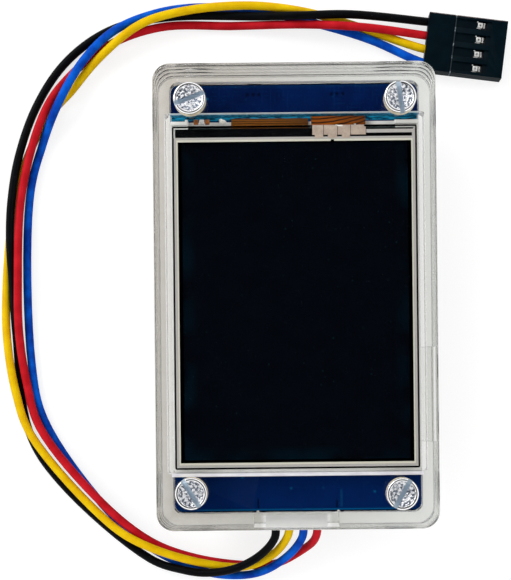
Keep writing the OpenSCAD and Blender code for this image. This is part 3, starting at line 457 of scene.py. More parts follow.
finish = {
    "clear_acrylic": acrylic(),
    "nickel_plate": metal("nickel_plate", (0.72, 0.72, 0.72), (0.5, 0.51, 0.54), 0.25),
    "screw_nickel": screw_metal(),
    "board_blue": board(),
    "chip_black": plastic("chip_black", (0.03, 0.03, 0.033), (0.018, 0.018, 0.02), 0.5, 2, 0.005),
    "tin_plate": metal("tin_plate", (0.78, 0.77, 0.74), (0.6, 0.59, 0.57), 0.3),
    "bright_tin": plastic("bright_tin", (0.95, 0.94, 0.92), (0.62, 0.62, 0.62), 0.25, 5,
                          metal=0.3),
    "ceramic_tan": plastic("ceramic_tan", (0.5, 0.38, 0.24), (0.36, 0.26, 0.16), 0.5, 3),
    "dull_tin": metal("dull_tin", (0.16, 0.165, 0.17), (0.06, 0.065, 0.07), 0.5),
    "gold_plate": metal("gold_plate", (0.9, 0.66, 0.25), (0.75, 0.52, 0.18), 0.25),
    "connector_ivory": plastic("connector_ivory", (0.93, 0.93, 0.92), (0.87, 0.87, 0.85), 0.35),
    "socket_black": socket_plastic(),
    "foam_black": plastic("foam_black", (0.03, 0.03, 0.03), (0.012, 0.012, 0.012), 0.9,
                          depth=0.05),
    "tray_white": plastic("tray_white", (0.85, 0.85, 0.82), (0.76, 0.76, 0.73), 0.3),
    "film_white": plastic("film_white", (0.9, 0.9, 0.9), (0.84, 0.84, 0.84), 0.5),
    "guide_clear": plastic("guide_clear", (0.85, 0.92, 0.92), (0.8, 0.88, 0.88), 0.15, clear=0.9),
    "display_glass": plastic("display_glass", (0.5, 0.6, 0.6), (0.4, 0.5, 0.5), 0.1, clear=0.8),
    "panel_black": panel(),
    "tape_black": plastic("tape_black", (0.0022, 0.0028, 0.004), (0.001, 0.0014, 0.0022), 0.4,
                          spec=0.06),
    "flex_amber": flex("flex_amber", (0.20, 0.066, 0.006), (0.05, 0.02, 0.006), 0.42, 0.0, 0,
                       (-4, 3)),
    "touch_amber": flex("touch_amber", (0.26, 0.062, 0.002), (0.018, 0.006, 0.002), 0.75, 0.022, 3,
                        (6, 14)),
    "solder_brown": plastic("solder_brown", (0.42, 0.14, 0.02), (0.16, 0.05, 0.015), 0.3, 3),
    "touch_clear": clear_sheet("touch_clear", (0.97, 0.98, 0.98), 0.0),
    "silver_ink": ink(),
    "pad_ink": plastic("pad_ink", (0.50, 0.40, 0.32), (0.40, 0.31, 0.25), 0.5, 3),
    "white_ink": plastic("white_ink", (0.8, 0.8, 0.78), (0.66, 0.66, 0.64), 0.6, 4),
    "glue_white": plastic("glue_white", (0.93, 0.92, 0.86), (0.8, 0.77, 0.68), 0.3, 2, 0.04),
    "wire_black": wire_skin("wire_black", (0.0016, 0.0024, 0.0032), (0.0008, 0.001, 0.0014), 0.5),
    "wire_yellow": wire_skin("wire_yellow", (0.90, 0.60, 0.002), (0.80, 0.47, 0.001), 0.5),
    "wire_blue": wire_skin("wire_blue", (0.001, 0.125, 0.72), (0.0005, 0.045, 0.40), 0.5),
    "wire_red": wire_skin("wire_red", (0.62, 0.012, 0.022), (0.48, 0.006, 0.012), 0.5),
}


# ---- Shapes ----

def add(name, mesh, slot, replaces=(), at=(0, 0, 0), material=None, shadow=True):
    """A piece of the module. Its slot is the record's, and a material of its own may replace
    the slot's finish. A clear sheet has shadow=False, so that direct and bounced light both
    reach what it covers."""
    piece = bpy.data.objects.new(name, mesh)
    piece.location = at
    scene.collection.objects.link(piece)
    if not mesh.materials:
        mesh.materials.append(finish[material or slot].data)
    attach(piece, "root")
    if replaces:
        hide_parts(*replaces)
    piece.visible_shadow = shadow
    piece.visible_diffuse = shadow
    return piece


def mesh_of(bm, name, sharp=35):
    """The finished mesh. Faces square to the axes stay flat, and the others are smooth."""
    mesh = bpy.data.meshes.new(name)
    bmesh.ops.recalc_face_normals(bm, faces=bm.faces)
    bm.to_mesh(mesh)
    bm.free()
    for face in mesh.polygons:
        face.use_smooth = max(abs(c) for c in face.normal) < 0.9999
    mesh.set_sharp_from_angle(angle=math.radians(sharp))
    return mesh


def clean(node):
    """A node's solid as a new mesh of whole flat faces."""
    bm = bmesh.new()
    bm.from_mesh(NODES[node].data)
    bmesh.ops.remove_doubles(bm, verts=bm.verts, dist=1e-7)
    bmesh.ops.dissolve_limit(bm, angle_limit=math.radians(0.3), verts=bm.verts, edges=bm.edges)
    return bm


def soften_edges(bm, width, segments=2, angle=40):
    """Rounds the edges where two faces meet at more than the angle. The width is in mm."""
    sharp = [e for e in bm.edges if len(e.link_faces) == 2
             and e.calc_face_angle(0) > math.radians(angle)]
    bmesh.ops.bevel(bm, geom=sharp, offset=width * MM, segments=segments, profile=0.5,
                    affect="EDGES", clamp_overlap=True)
    return bm


def softened(node, width, slot, segments=2, **more):
    """A node's own solid with its sharp edges rounded, in its place."""
    bm = soften_edges(clean(node), width, segments)
    return add(node + "_detail", mesh_of(bm, node), slot, [node], **more)


def box(bm, low, high, soften=0.0, segments=2):
    """A block between two corners in mm, added to a mesh, with its edges rounded."""
    made = bmesh.ops.create_cube(bm, size=1)["verts"]
    size = [(b - a) * MM for a, b in zip(low, high)]
    middle = [(a + b) / 2 * MM for a, b in zip(low, high)]
    bmesh.ops.scale(bm, verts=made, vec=size)
    bmesh.ops.translate(bm, verts=made, vec=middle)
    if soften:
        edges = list({e for v in made for e in v.link_edges})
        made = bmesh.ops.bevel(bm, geom=edges, offset=soften * MM, segments=segments,
                               profile=0.5, affect="EDGES", clamp_overlap=True)["verts"]
    return made


def lathe(profile, steps=96):
    """A solid turned about Z from a profile in mm that starts and ends on the axis."""
    bm = bmesh.new()
    line = [bm.verts.new((r * MM, 0, z * MM)) for r, z in profile]
    edges = [bm.edges.new(pair) for pair in zip(line, line[1:])]
    bmesh.ops.spin(bm, geom=line + edges, cent=(0, 0, 0), axis=(0, 0, 1),
                   angle=2 * math.pi, steps=steps, use_merge=True)
    bmesh.ops.remove_doubles(bm, verts=bm.verts, dist=1e-7)
    bmesh.ops.recalc_face_normals(bm, faces=bm.faces)
    return bm


def combined(first, others, operation="UNION"):
    """One mesh made from several by exact joining or cutting."""
    def wrap(bm):
        mesh = bpy.data.meshes.new("shape")
        bm.to_mesh(mesh)
        bm.free()
        made = bpy.data.objects.new("shape", mesh)
        scene.collection.objects.link(made)
        return made

    body = wrap(first)
    tools = [wrap(bm) for bm in others]
    for tool in tools:
        step = body.modifiers.new("step", "BOOLEAN")
        step.operation = operation
        step.solver = "MANIFOLD"
        step.object = tool
    made = bpy.data.meshes.new_from_object(
        body.evaluated_get(bpy.context.evaluated_depsgraph_get()))
    for thing in (body, *tools):
        bpy.data.objects.remove(thing)
    bm = bmesh.new()
    bm.from_mesh(made)
    bmesh.ops.dissolve_limit(bm, angle_limit=math.radians(0.3), verts=bm.verts, edges=bm.edges)
    return bm


def paint(mesh, materials, choose):
    """Gives each face one of several finishes."""
    for name in materials:
        mesh.materials.append(finish[name].data)
    for face in mesh.polygons:
        face.material_index = choose(face.center / MM, face)


def islands(bm):
    """The separate solids of a mesh, as lists of faces."""
    left = set(bm.faces)
    while left:
        group = {left.pop()}
        edge = list(group)
        while edge:
            face = edge.pop()
            for near in {f for e in face.edges for f in e.link_faces} & left:
                left.discard(near)
                group.add(near)
                edge.append(near)
        yield group


# ---- Socket at the lead's far end ----

# In mm: the ways of plug and socket, the socket's bright tabs and the four wires
WAYS = 4
MID_WAY = (WAYS - 1) / 2
PLUG_PITCH = 2.5
PITCH = 2.54
TAB_PITCH = 2.58
WIRE_D = 1.5
WIRE_Z = 7.5
low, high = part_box("cable_plug")
PLUG_FACE = low.y / MM
PLUG_X = (low.x + high.x) / 2 / MM
low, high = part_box("socket_housing")
SOCKET_MID = Vector(((low.x + high.x) / 2 / MM, (low.y + high.y) / 2 / MM, high.z / 2 / MM))
# The drawn socket lies a little west of its solid, and is a little larger
SOCKET_MID.x -= 0.3
SOCKET_GROW = 1.035


def at_socket(bm):
    """Turns and places what is drawn on the socket's own axes, a touch over size like it."""
    bmesh.ops.scale(bm, verts=bm.verts, vec=(SOCKET_GROW, SOCKET_GROW, 1))
    bmesh.ops.rotate(bm, verts=bm.verts, matrix=Matrix.Rotation(SOCKET_TURN, 3, "Z"))
    bmesh.ops.translate(bm, verts=bm.verts,
                        vec=(SOCKET_MID.x * MM, SOCKET_MID.y * MM, 0))
    return bm


def socket_parts():
    """In each window the contact's tab with its hole and its spring prongs."""
    bm = soften_edges(clean("socket_housing"), 0.05, 1)
    low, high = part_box("socket_housing")
    middle = (low + high) / 2
    for v in bm.verts:
        v.co.xy = (SOCKET_MID * MM + (v.co - middle) * SOCKET_GROW).xy
    add("socket_housing_detail", mesh_of(bm, "socket_housing"), "socket_black",
        ["socket_housing"])
    bm = bmesh.new()
    for lane in range(WAYS):
        y = (MID_WAY - lane) * PITCH
        pipe = bmesh.ops.create_cone(bm, cap_ends=True, segments=24, radius1=0.9 * MM,
                                     radius2=0.9 * MM, depth=3 * MM)["verts"]
        bmesh.ops.rotate(bm, verts=pipe, matrix=Matrix.Rotation(math.pi / 2, 3, "Y"))
        bmesh.ops.translate(bm, verts=pipe, vec=(-5.5 * MM, y * MM, PITCH / 2 * MM))
        box(bm, (-4, y - 0.7, 0.5), (5.6, y + 0.7, 1.62), 0.05, 1)
    mesh = mesh_of(at_socket(bm), "contacts")
    add("socket_contact_bodies", mesh, "tin_plate", ["socket_contacts"], material="dull_tin")
    bm = bmesh.new()
    for lane in range(WAYS):
        y = (MID_WAY - lane) * TAB_PITCH
        tab = bmesh.new()
        box(tab, (1.75, y - 0.45, 1.6), (2.6, y + 0.45, 2.3), 0.06)
        hole = bmesh.new()
        box(hole, (2.05, y - 0.16, 1.9), (2.35, y + 0.16, 2.6))
        cut = combined(tab, [hole], "DIFFERENCE")
        keep = bpy.data.meshes.new("tab")
        cut.to_mesh(keep)
        cut.free()
        bm.from_mesh(keep)
        for k in (-0.36, -0.12, 0.12, 0.36):
            top = 2.2 + 0.1 * (lane % 2)
            box(bm, (2.75, y + k - 0.07, 1.9), (3.05, y + k + 0.07, top), 0.02, 1)
        box(bm, (1.55, y + 0.5, 1.6), (1.8, y + 0.66, 2.28), 0.03, 1)
        box(bm, (1.6, y - 0.62, 1.6), (2.4, y - 0.52, 2.24), 0.02, 1)
    add("socket_contact_tabs", mesh_of(at_socket(bm), "tabs"), "tin_plate", material="bright_tin")


socket_parts()


# ---- Cords ----

# Points to each stretch of a wire, and the lowest its middle may lie, in mm
STEPS = 8
LOWEST = 0.8


def smooth_line(points, before, after):
    """A centripetal curve through points in millimetres, kept on the table."""
    p = [Vector(q) for q in (before, *points, after)]
    line = []
    for a, b, c, d in zip(p, p[1:], p[2:], p[3:]):
        t1 = (b - a).length ** 0.5
        t2 = t1 + (c - b).length ** 0.5
        t3 = t2 + (d - c).length ** 0.5
        for i in range(STEPS):
            t = t1 + (t2 - t1) * i / STEPS
            a1 = a.lerp(b, t / t1)
            a2 = b.lerp(c, (t - t1) / (t2 - t1))
            a3 = c.lerp(d, (t - t2) / (t3 - t2))
            line.append(a1.lerp(a2, t / t2).lerp(a2.lerp(a3, (t - t1) / (t3 - t1)),
                                                 (t - t1) / (t2 - t1)))
    line.append(p[-2])
    for point in line:
        point.z = max(point.z, LOWEST)
    return line


# Each wire's way at the plug, its lane at the socket, and where it passes in mm
ROUTES = {
    "black": (0, 0, [(-4.3, -42.6, 6.9), (-6.9, -45.8, 5.3), (-11.4, -48.3, 4.4),
        (-16.8, -49.3, 3.2), (-21.5, -48.8, 2.3), (-27.5, -46.9, 1), (-44, -32.4, 0.8),
        (-49.6, -23.3, 0.8), (-51.8, -5.3, 0.8), (-52.1, 4.4, 2), (-52.4, 12, 2.4),
        (-52, 19.4, 2.5), (-50.6, 27.9, 1.9), (-47.3, 37.5, 0.8), (-41.7, 45.4, 0.8),
        (-33.9, 50.8, 0.8), (-23.7, 53.1, 0.8), (-5.7, 52.7, 2.1), (1.8, 52.4, 3.3),
        (10.5, 52.8, 2.4)]),
    "yellow": (1, 2, [(-2.1, -42.6, 6.5), (-4.9, -46.1, 3.8), (-9.7, -48.3, 2.4),
        (-17.2, -47.7, 2.4), (-27.8, -44.2, 3.6), (-34.6, -40.2, 2.4), (-48.9, -23.8, 2.3),
        (-51.6, -16.1, 2.3), (-53.2, -6.8, 1.8), (-53.6, 1.7, 0.8), (-52, 18.2, 0.8),
        (-49.4, 27.4, 0.8), (-45.7, 34.7, 0.8), (-41.4, 39.4, 0.8), (-35.9, 45.2, 2.1),
        (-28, 51, 3.4), (-19.7, 53.4, 3.5), (-7.9, 54.6, 2.4), (1.8, 53.6, 1.9),
        (9.6, 51.8, 0.8)]),
    "blue": (2, 3, [(0.6, -42.7, 6.3), (-2.1, -46.3, 4), (-7.5, -49.6, 1.7), (-14.6, -50, 0.8),
        (-21.6, -47.9, 0.8), (-28, -44.4, 0.8), (-36.1, -36.9, 0.8), (-46.8, -21.1, 0.8),
        (-49, -10.9, 0.8), (-49.1, 19.6, 0.8), (-46.9, 28.8, 0.8), (-43.2, 36.7, 3),
        (-38.4, 44.8, 2.9), (-32.7, 50.4, 2.3), (-25.3, 53.3, 2.4), (-18, 54.5, 1.9),
        (-8, 54.4, 0.8), (3.1, 52, 0.8), (14.2, 48.6, 0.8)]),
    "red": (3, 1, [(3, -42.8, 5.9), (0.8, -45.3, 2.4), (-4.4, -48.1, 0.8), (-10.9, -48.2, 0.8),
        (-20.1, -46.6, 0.9), (-27.3, -43.5, 2.1), (-35.8, -36.6, 2.4), (-47.3, -22.4, 2.3),
        (-49.7, -14.2, 1.9), (-50.9, -5.4, 2.2), (-50.9, 3.7, 2.9), (-50.1, 21.2, 2.2),
        (-45.6, 35.9, 2.4), (-41.5, 42.2, 1), (-34.3, 48, 0.8), (-24.6, 51.3, 0.8),
        (-11.7, 51.4, 0.8), (2.2, 51.1, 2.2), (13.1, 50.2, 3)]),
}


def socket_spot(along, lane):
    """A point on the socket's own axes, with its lane counted from the top wire."""
    turned = Vector((along, (MID_WAY - lane) * PITCH, 0))
    turned.rotate(Matrix.Rotation(SOCKET_TURN, 3, "Z"))
    return SOCKET_MID + turned


for colour, (way, lane, route) in ROUTES.items():
    start = Vector((PLUG_X + (way - MID_WAY) * PLUG_PITCH, PLUG_FACE, WIRE_Z))
    end = socket_spot(-7, lane)
    line = smooth_line([start, *route, end], start + Vector((0, 4, 0)), socket_spot(-3, lane))
    curve = bpy.data.curves.new("lead_" + colour, "CURVE")
    curve.dimensions = "3D"
    curve.bevel_depth = WIRE_D / 2 * MM
    curve.bevel_resolution = 5
    curve.use_fill_caps = True
    spline = curve.splines.new("POLY")
    spline.points.add(len(line) - 1)
    for point, spot in zip(spline.points, line):
        point.co = (*(spot * MM), 1)
    spline.use_smooth = True
    wire = bpy.data.objects.new("lead_" + colour, curve)
    scene.collection.objects.link(wire)
    curve.materials.append(finish["wire_" + colour].data)
    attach(wire, "root")
    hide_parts("wire_" + colour)


# ---- Case ----

# A screw's head in mm
HEAD_R = 2.75
HEAD_H = 2
SHEETS = ["front_panel", "board_ring", "slotted_ring", "corner_piece", "lower_ring", "back_panel"]


def case_body():
    """The clear sheets as one body, with a fine groove at each seam between them."""
    sheets = [soften_edges(clean(node), 0.015, 1, 60) for node in SHEETS]
    body = combined(sheets[0], sheets[1:])
    add("case_sheets", mesh_of(body, "case_sheets", 25), "clear_acrylic", SHEETS, shadow=False)


def screws():
    """Four slotted cheese head screws with a rolled rim round a turned face. Each stands a
    little off its hole's middle."""
    low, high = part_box("case_screws")
    seat = high.z / MM - HEAD_H
    reach = (high.x - low.x) / MM / 2 - HEAD_R
    side = (high.y - low.y) / MM / 2 - HEAD_R
    profile = [(0, -16), (1.1, -16), (1.5, -15.6), (1.5, 0), (2.67, 0), (HEAD_R, 0.08),
               (HEAD_R, 1.66), (2.72, 1.8), (2.64, 1.91), (2.52, 1.98), (2.38, HEAD_H),
               (2.26, 1.96), (2.18, 1.89), (2.1, 1.86), (0, 1.88)]
    cut = bmesh.new()
    box(cut, (-4, -0.4, 1.0), (4, 0.4, 3))
    shape = combined(lathe(profile), [cut], "DIFFERENCE")
    lips = [e for e in shape.edges if len(e.link_faces) == 2 and e.calc_face_angle(0) > 1.0
            and all(v.co.z > 0.9 * MM for v in e.verts)]
    bmesh.ops.bevel(shape, geom=lips, offset=0.07 * MM, segments=2, profile=0.5,
                    affect="EDGES", clamp_overlap=True)
    mesh = mesh_of(shape, "screw", 30)
    for name, x, y, turn in (("nw", -reach + 0.18, side - 0.1, 20),
                             ("ne", reach + 0.1, side - 0.2, 98),
                             ("sw", -reach - 0.2, -side + 0.2, -58),
                             ("se", reach - 0.2, -side - 0.2, 60)):
        own = mesh.copy()
        piece = add("screw_" + name, own, "nickel_plate", ["case_screws"],
                    (x * MM, y * MM, seat * MM), "screw_nickel")
        piece.rotation_euler.z = math.radians(turn)
        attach(piece, "root")


def spacers():
    """Short sleeves on the screws, between the front panel and the board."""
    low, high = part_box("panel_spacers")
    bottom, top = low.z / MM, high.z / MM
    sleeve = lathe([(0, bottom), (1.95, bottom), (2.02, bottom + 0.08), (2.02, top - 0.08),
                    (1.95, top), (0, top)])
    bore = lathe([(0, bottom - 1), (1.55, bottom - 1), (1.55, top + 1), (0, top + 1)], 48)
    mesh = mesh_of(combined(sleeve, [bore], "DIFFERENCE"), "sleeve", 30)
    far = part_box("case_screws")[1]
    reach, side = far.x / MM - HEAD_R, far.y / MM - HEAD_R
    bm = bmesh.new()
    for x in (-reach, reach):
        for y in (-side, side):
            before = len(bm.verts)
            bm.from_mesh(mesh)
            bm.verts.ensure_lookup_table()
            bmesh.ops.translate(bm, verts=bm.verts[before:], vec=(x * MM, y * MM, 0))
    add("panel_sleeves", mesh_of(bm, "sleeves", 30), "connector_ivory", ["panel_spacers"])


case_body()
screws()
softened("case_nuts", 0.08, "nickel_plate")
spacers()


# ---- Touch panel ----

# The printed frame in mm. It is drawn a little wider than its solid
low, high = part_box("touch_tracks")
TRACK_Z = low.z / MM
TRACK_HALF = high.x / MM + 0.13
TRACK_SOUTH = low.y / MM
TRACK_NORTH = 27.35
TRACK_W = 0.75


def touch_tracks():
    """The printed frame, its second lane and a small nick in its upper side."""
    half, south, north, w = TRACK_HALF, TRACK_SOUTH, TRACK_NORTH, TRACK_W
    top = TRACK_Z + 0.04
    ring = bmesh.new()
    box(ring, (-half, south, TRACK_Z), (half, north, top))
    hole = bmesh.new()
    box(hole, (-half + w, south + w, TRACK_Z - 1), (half - w, north - w, top + 1))
    frame_mesh = combined(ring, [hole], "DIFFERENCE")
    nick = bmesh.new()
    box(nick, (6.25, north - w - 0.1, TRACK_Z - 1), (6.8, north - w + 0.28, top + 1))
    frame_mesh = combined(frame_mesh, [nick], "DIFFERENCE")
    lane = bmesh.new()
    box(lane, (12.35, north + 0.6, TRACK_Z), (half, north + 1.2, top))
    link = bmesh.new()
    box(link, (half - 0.6, north - 0.1, TRACK_Z), (half, north + 0.7, top))
    shape = combined(frame_mesh, [lane, link])
    add("touch_track_lines", mesh_of(shape, "tracks"), "silver_ink", ["touch_tracks"])


def flex_pads():
    """The flex's silver pads under the film: four lands, three of them with a finger."""
    bm = bmesh.new()
    low, high = TRACK_Z + 0.045, TRACK_Z + 0.09
    lands = [(3.1, 4.97), (5.05, 7.37), (7.45, 9.6), (9.68, 12.25)]
    for west, east in lands:
        box(bm, (west, 27.64, low), (east, 29.3, high), 0.01, 1)
    for west, east in ((3.5, 4.95), (5.75, 7.3), (8.15, 9.55)):
        box(bm, (west, 27.1, low), (east, 27.66, high), 0.01, 1)
    add("touch_flex_pads", mesh_of(bm, "pads"), "silver_ink", material="pad_ink")
    # Painted glints: three small white drops on the flex
    bm = bmesh.new()
    for x, y, w, l in ((7.85, 29.18, 0.5, 0.11), (7.3, 29.3, 0.3, 0.06),
                       (10.4, 29.42, 0.22, 0.05)):
        drop = bmesh.ops.create_uvsphere(bm, u_segments=16, v_segments=8, radius=1)["verts"]
        bmesh.ops.scale(bm, verts=drop, vec=(w * MM, l * MM, 0.06 * MM))
        bmesh.ops.translate(bm, verts=drop, vec=(x * MM, y * MM, (high + 0.01) * MM))
    add("touch_flex_glint_drops", mesh_of(bm, "glue"), "connector_ivory", material="glue_white")


def folded(name, node, slot, material, x, width, top, start, bend, under):
    """A flex that leaves at one height, bends round the tray and lies on the board."""
    thick = 0.1
    outer = (top + thick - under) / 2
    mid = under + outer
    steps = 20
    line = [(start, top + thick)]
    line += [(bend + outer * math.sin(math.pi * i / steps),
              mid + outer * math.cos(math.pi * i / steps)) for i in range(steps + 1)]
    line += [(bend - 8, under)]
    back = [(bend - 8, under + thick)]
    back += [(bend + (outer - thick) * math.sin(math.pi * i / steps),
              mid + (outer - thick) * math.cos(math.pi * i / steps))
             for i in range(steps, -1, -1)]
    back += [(start, top)]
    bm = bmesh.new()
    ring = [bm.verts.new(((x - width / 2) * MM, y * MM, z * MM)) for y, z in line + back]
    face = bm.faces.new(ring)
    made = bmesh.ops.extrude_face_region(bm, geom=[face])["geom"]
    far = [v for v in made if isinstance(v, bmesh.types.BMVert)]
    bmesh.ops.translate(bm, verts=far, vec=(width * MM, 0, 0))
    soften_edges(bm, 0.02, 1, 60)
    add(name, mesh_of(bm, name, 30), slot, [node], material=material)


touch_tracks()
flex_pads()
for node in ("touch_glass", "touch_film"):
    softened(node, 0.03, "touch_clear", 1, shadow=False)
low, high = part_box("touch_flex")
folded("touch_flex_fold", "touch_flex", "flex_amber", "touch_amber",
       (low.x + high.x) / 2 / MM + 0.25, 9.3, TRACK_Z, 29.3, 29.35, low.z / MM)
low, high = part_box("display_flex")
folded("display_flex_fold", "display_flex", "flex_amber", "flex_amber",
       (low.x + high.x) / 2 / MM, (high.x - low.x) / MM, 14.3, 29.01, 29.95, low.z / MM)


# ---- Display ----

def tray_posts():
    """Raised stops on the tray's two corners with a groove along each, and its south lip."""
    bm = bmesh.new()
    for west, east in ((-21.3, -18.3), (17.35, 21.3)):
        box(bm, (west, 29.6, 14.9), (east, 30.22, 15.5), 0.1)
        box(bm, (west, 28.98, 14.92), (east, 29.5, 15.04), 0.03, 1)
    box(bm, (-18.8, 30.1, 14.9), (-18.3, 30.6, 15.4), 0.1)
    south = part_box("backlight_tray")[0].y / MM
    box(bm, (-21.3, south - 0.22, 12.5), (21.3, south - 0.01, 14.5), 0.03)
    add("tray_posts", mesh_of(bm, "posts"), "tray_white")


def ledge_parts():
    """What shows in the gap at the flex end: solder on the lamps' flex, and a dab of glue."""
    bm = bmesh.new()
    y, z = 30.18, 15.1
    for x, w in ((-16.9, 0.4), (-15.92, 0.46), (-14.98, 0.4)):
        box(bm, (x - w, y - 0.45, z - 0.2), (x + w, y + 0.45, z + 0.25), 0.16, 3)
    mesh = mesh_of(bm, "solder")
    paint(mesh, ["solder_brown", "bright_tin"], lambda c, f: 1 if abs(c.x + 15.92) < 0.48 else 0)
    add("backlight_solder", mesh, "tin_plate")
    bm = bmesh.new()
    blob = bmesh.ops.create_icosphere(bm, subdivisions=4, radius=1)["verts"]
    for v in blob:
        a = math.atan2(v.co.y, v.co.x)
        v.co *= 1 + 0.12 * math.sin(3 * a + 0.6) + 0.06 * math.sin(7 * a)
    bmesh.ops.scale(bm, verts=blob, vec=(0.62 * MM, 0.46 * MM, 0.75 * MM))
    bmesh.ops.rotate(bm, verts=blob, matrix=Matrix.Rotation(-0.25, 3, "Z"))
    bmesh.ops.translate(bm, verts=blob, vec=(-12.4 * MM, 30.3 * MM, 14.75 * MM))
    add("glue_dab", mesh_of(bm, "glue"), "connector_ivory", material="glue_white")


tray_posts()
ledge_parts()
softened("backlight_tray", 0.08, "tray_white")
softened("ledge_tape", 0.02, "tape_black", 1)
softened("backlight_flex", 0.02, "flex_amber", 1)


# ---- Board and the parts on its back ----

def mounted(node, width, body_w, body_l, middle):
    """A chip with soft edges, and its leads in metal outside its moulded body."""
    mesh = mesh_of(soften_edges(clean(node), width, 1), node)
    x, y = middle
    paint(mesh, ["chip_black", "tin_plate"],
          lambda c, f: 0 if abs(c.x - x) < body_w / 2 + 0.02
          and abs(c.y - y) < body_l / 2 + 0.02 else 1)
    add(node + "_detail", mesh, "chip_black", [node])


def middle_of(node):
    low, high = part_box(node)
    return (low.x + high.x) / 2 / MM, (low.y + high.y) / 2 / MM


def chip_parts(node, body):
    """Ceramic chips: the two ends of each one are tinned caps."""
    bm = clean(node)
    caps = set()
    for group in islands(bm):
        verts = {v for f in group for v in f.verts}
        low = Vector([min(v.co[i] for v in verts) for i in range(3)])
        high = Vector([max(v.co[i] for v in verts) for i in range(3)])
        axis = 0 if high.x - low.x > high.y - low.y else 1
        cap = (high[axis] - low[axis]) * 0.215
        for f in group:
            spot = f.calc_center_median()[axis]
            if spot < low[axis] + cap or spot > high[axis] - cap:
                caps.add(tuple(round(c, 7) for c in f.calc_center_median()))
    mesh = mesh_of(bm, node)
    paint(mesh, [body, "tin_plate"],
          lambda c, f: 1 if tuple(round(v * MM, 7) for v in c) in caps else 0)
    add(node + "_detail", mesh, body, [node])


def board_print():
    """Plain white outlines round the chips on the board's back, printed without lettering."""
    bm = bmesh.new()
    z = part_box("circuit_board")[0].z / MM
    for node, grow in (("graphics_chip", 0.6), ("microcontroller", 0.6), ("flash_memory", 0.5),
                       ("crystal", 0.4), ("inductor", 0.4), ("regulator", 0.4)):
        low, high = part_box(node)
        w, s = low.x / MM - grow, low.y / MM - grow
        e, n = high.x / MM + grow, high.y / MM + grow
        t = 0.15
        for a, b in (((w, s), (e, s + t)), ((w, n - t), (e, n)), ((w, s + t), (w + t, n - t)),
                     ((e - t, s + t), (e, n - t))):
            box(bm, (*a, z - 0.015), (*b, z + 0.005))
        box(bm, (w - 0.6, n - 0.6, z - 0.015), (w - 0.2, n - 0.2, z + 0.005))
    add("board_print", mesh_of(bm, "print"), "film_white", material="white_ink")


def gap_shade_blocks():
    """Black blocks at the board's break-off tabs, in the gap beside the case: painted shade in
    that gap.
    """
    bm = bmesh.new()
    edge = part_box("circuit_board")[1].y / MM
    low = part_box("circuit_board")[0].z / MM + 0.05
    for x in (-6.9, 6.9):
        box(bm, (x - 1.25, edge - 0.26, low), (x + 1.25, edge + 0.08, low + 1.5), 0.02, 1)
        for prong in (x - 0.85, x + 0.85):
            box(bm, (prong - 0.35, -edge - 0.08, low), (prong + 0.35, 0.26 - edge, low + 1.5),
                0.02, 1)
    # Painted shade: the blocks are black
    add("gap_shade_blocks", mesh_of(bm, "shade_blocks"), "board_blue", material="tape_black")


softened("circuit_board", 0.05, "board_blue", 1)
board_print()
gap_shade_blocks()
for node, side in (("graphics_chip", 14), ("microcontroller", 7), ("flash_memory", 5.3)):
    mounted(node, 0.05, side, side, middle_of(node))
mounted("regulator", 0.06, 6.5, 3.5, middle_of("regulator"))
chip_parts("chip_capacitors", "ceramic_tan")
chip_parts("chip_resistors", "chip_black")
softened("crystal", 0.06, "tin_plate")
softened("inductor", 0.12, "chip_black")
softened("card_socket_shell", 0.04, "tin_plate", 1)
softened("card_socket_base", 0.04, "chip_black", 1)
softened("cable_header", 0.1, "connector_ivory")
softened("cable_plug", 0.1, "connector_ivory")
softened("header_pins", 0.05, "tin_plate", 1)
softened("plug_contacts", 0.05, "tin_plate", 1)


# ---- Nodes that keep their shape ----

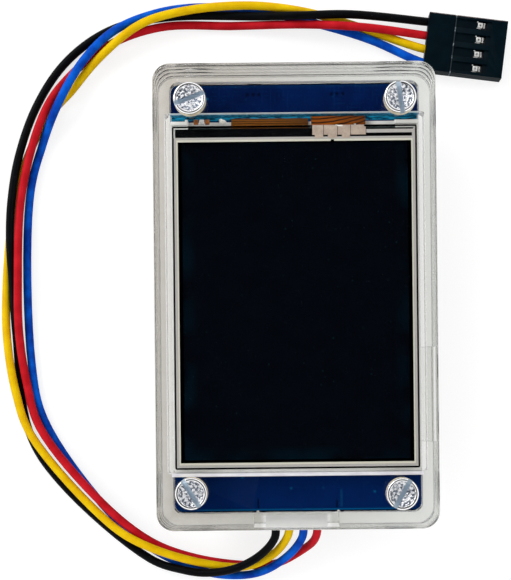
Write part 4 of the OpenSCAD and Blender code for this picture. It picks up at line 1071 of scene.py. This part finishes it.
SLOTS = {
    "gold_plate": ["card_socket_contacts"],
    "chip_black": ["driver_chip"],
    "foam_black": ["foam_tapes"],
    "tray_white": ["backlight_leds"],
    "film_white": ["reflector", "optical_films"],
    "guide_clear": ["light_guide"],
    "display_glass": ["rear_glass"],
    "panel_black": ["front_glass", "front_polarizer", "rear_polarizer"],
    "touch_clear": ["touch_seal", "touch_bond"],
}
for slot, nodes in SLOTS.items():
    for node in nodes:
        data = NODES[node].data
        data.materials.clear()
        data.materials.append(finish[slot].data)


# ---- Floor and light ----

def stage():
    """A white floor that shows as white and keeps the shadow, under a soft even sky whose
    middle is dark, so that flat faces seen from above keep their own colour."""
    floor = Finish("floor", color=(0.36, 0.36, 0.36), rough=0.9, spec=0.0)
    paths = floor.tree.nodes.new("ShaderNodeLightPath").outputs
    seen = floor.math("MAXIMUM", paths["Is Camera Ray"],
                      floor.math("MAXIMUM", paths["Is Glossy Ray"], paths["Is Transmission Ray"]))
    floor.shader.inputs["Emission Color"].default_value = (1, 1, 1, 1)
    floor.feed(floor.shader.inputs["Emission Strength"], floor.both(seen, 0.75))
    bm = bmesh.new()
    bmesh.ops.create_grid(bm, x_segments=8, y_segments=8, size=4)
    mesh = bpy.data.meshes.new("floor")
    bm.to_mesh(mesh)
    bm.free()
    mesh.materials.append(floor.data)
    plane = bpy.data.objects.new("floor", mesh)
    scene.collection.objects.link(plane)
    plane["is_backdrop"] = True

    world = bpy.data.worlds.new("world")
    scene.world = world
    world.use_nodes = True
    tree = world.node_tree
    back = tree.nodes["Background"]
    back.inputs["Color"].default_value = (1, 1, 1, 1)
    spot = tree.nodes.new("ShaderNodeTexCoord")
    split = tree.nodes.new("ShaderNodeSeparateXYZ")
    tree.links.new(spot.outputs["Generated"], split.inputs[0])
    fade = tree.nodes.new("ShaderNodeMapRange")
    fade.interpolation_type = "SMOOTHSTEP"
    for key, value in {"From Min": 0.78, "From Max": 0.92, "To Min": 1.15, "To Max": 0.0}.items():
        fade.inputs[key].default_value = value
    tree.links.new(split.outputs[2], fade.inputs["Value"])
    tree.links.new(fade.outputs[0], back.inputs["Strength"])

    key = bpy.data.lights.new("key", "AREA")
    key.shape = "RECTANGLE"
    key.size, key.size_y = 0.35, 0.25
    key.energy = 1.6
    lamp = bpy.data.objects.new("key", key)
    lamp.location = (-0.45, 0.35, 0.45)
    lamp.rotation_euler = (-lamp.location).to_track_quat("-Z", "Y").to_euler()
    scene.collection.objects.link(lamp)


stage()

low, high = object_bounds()
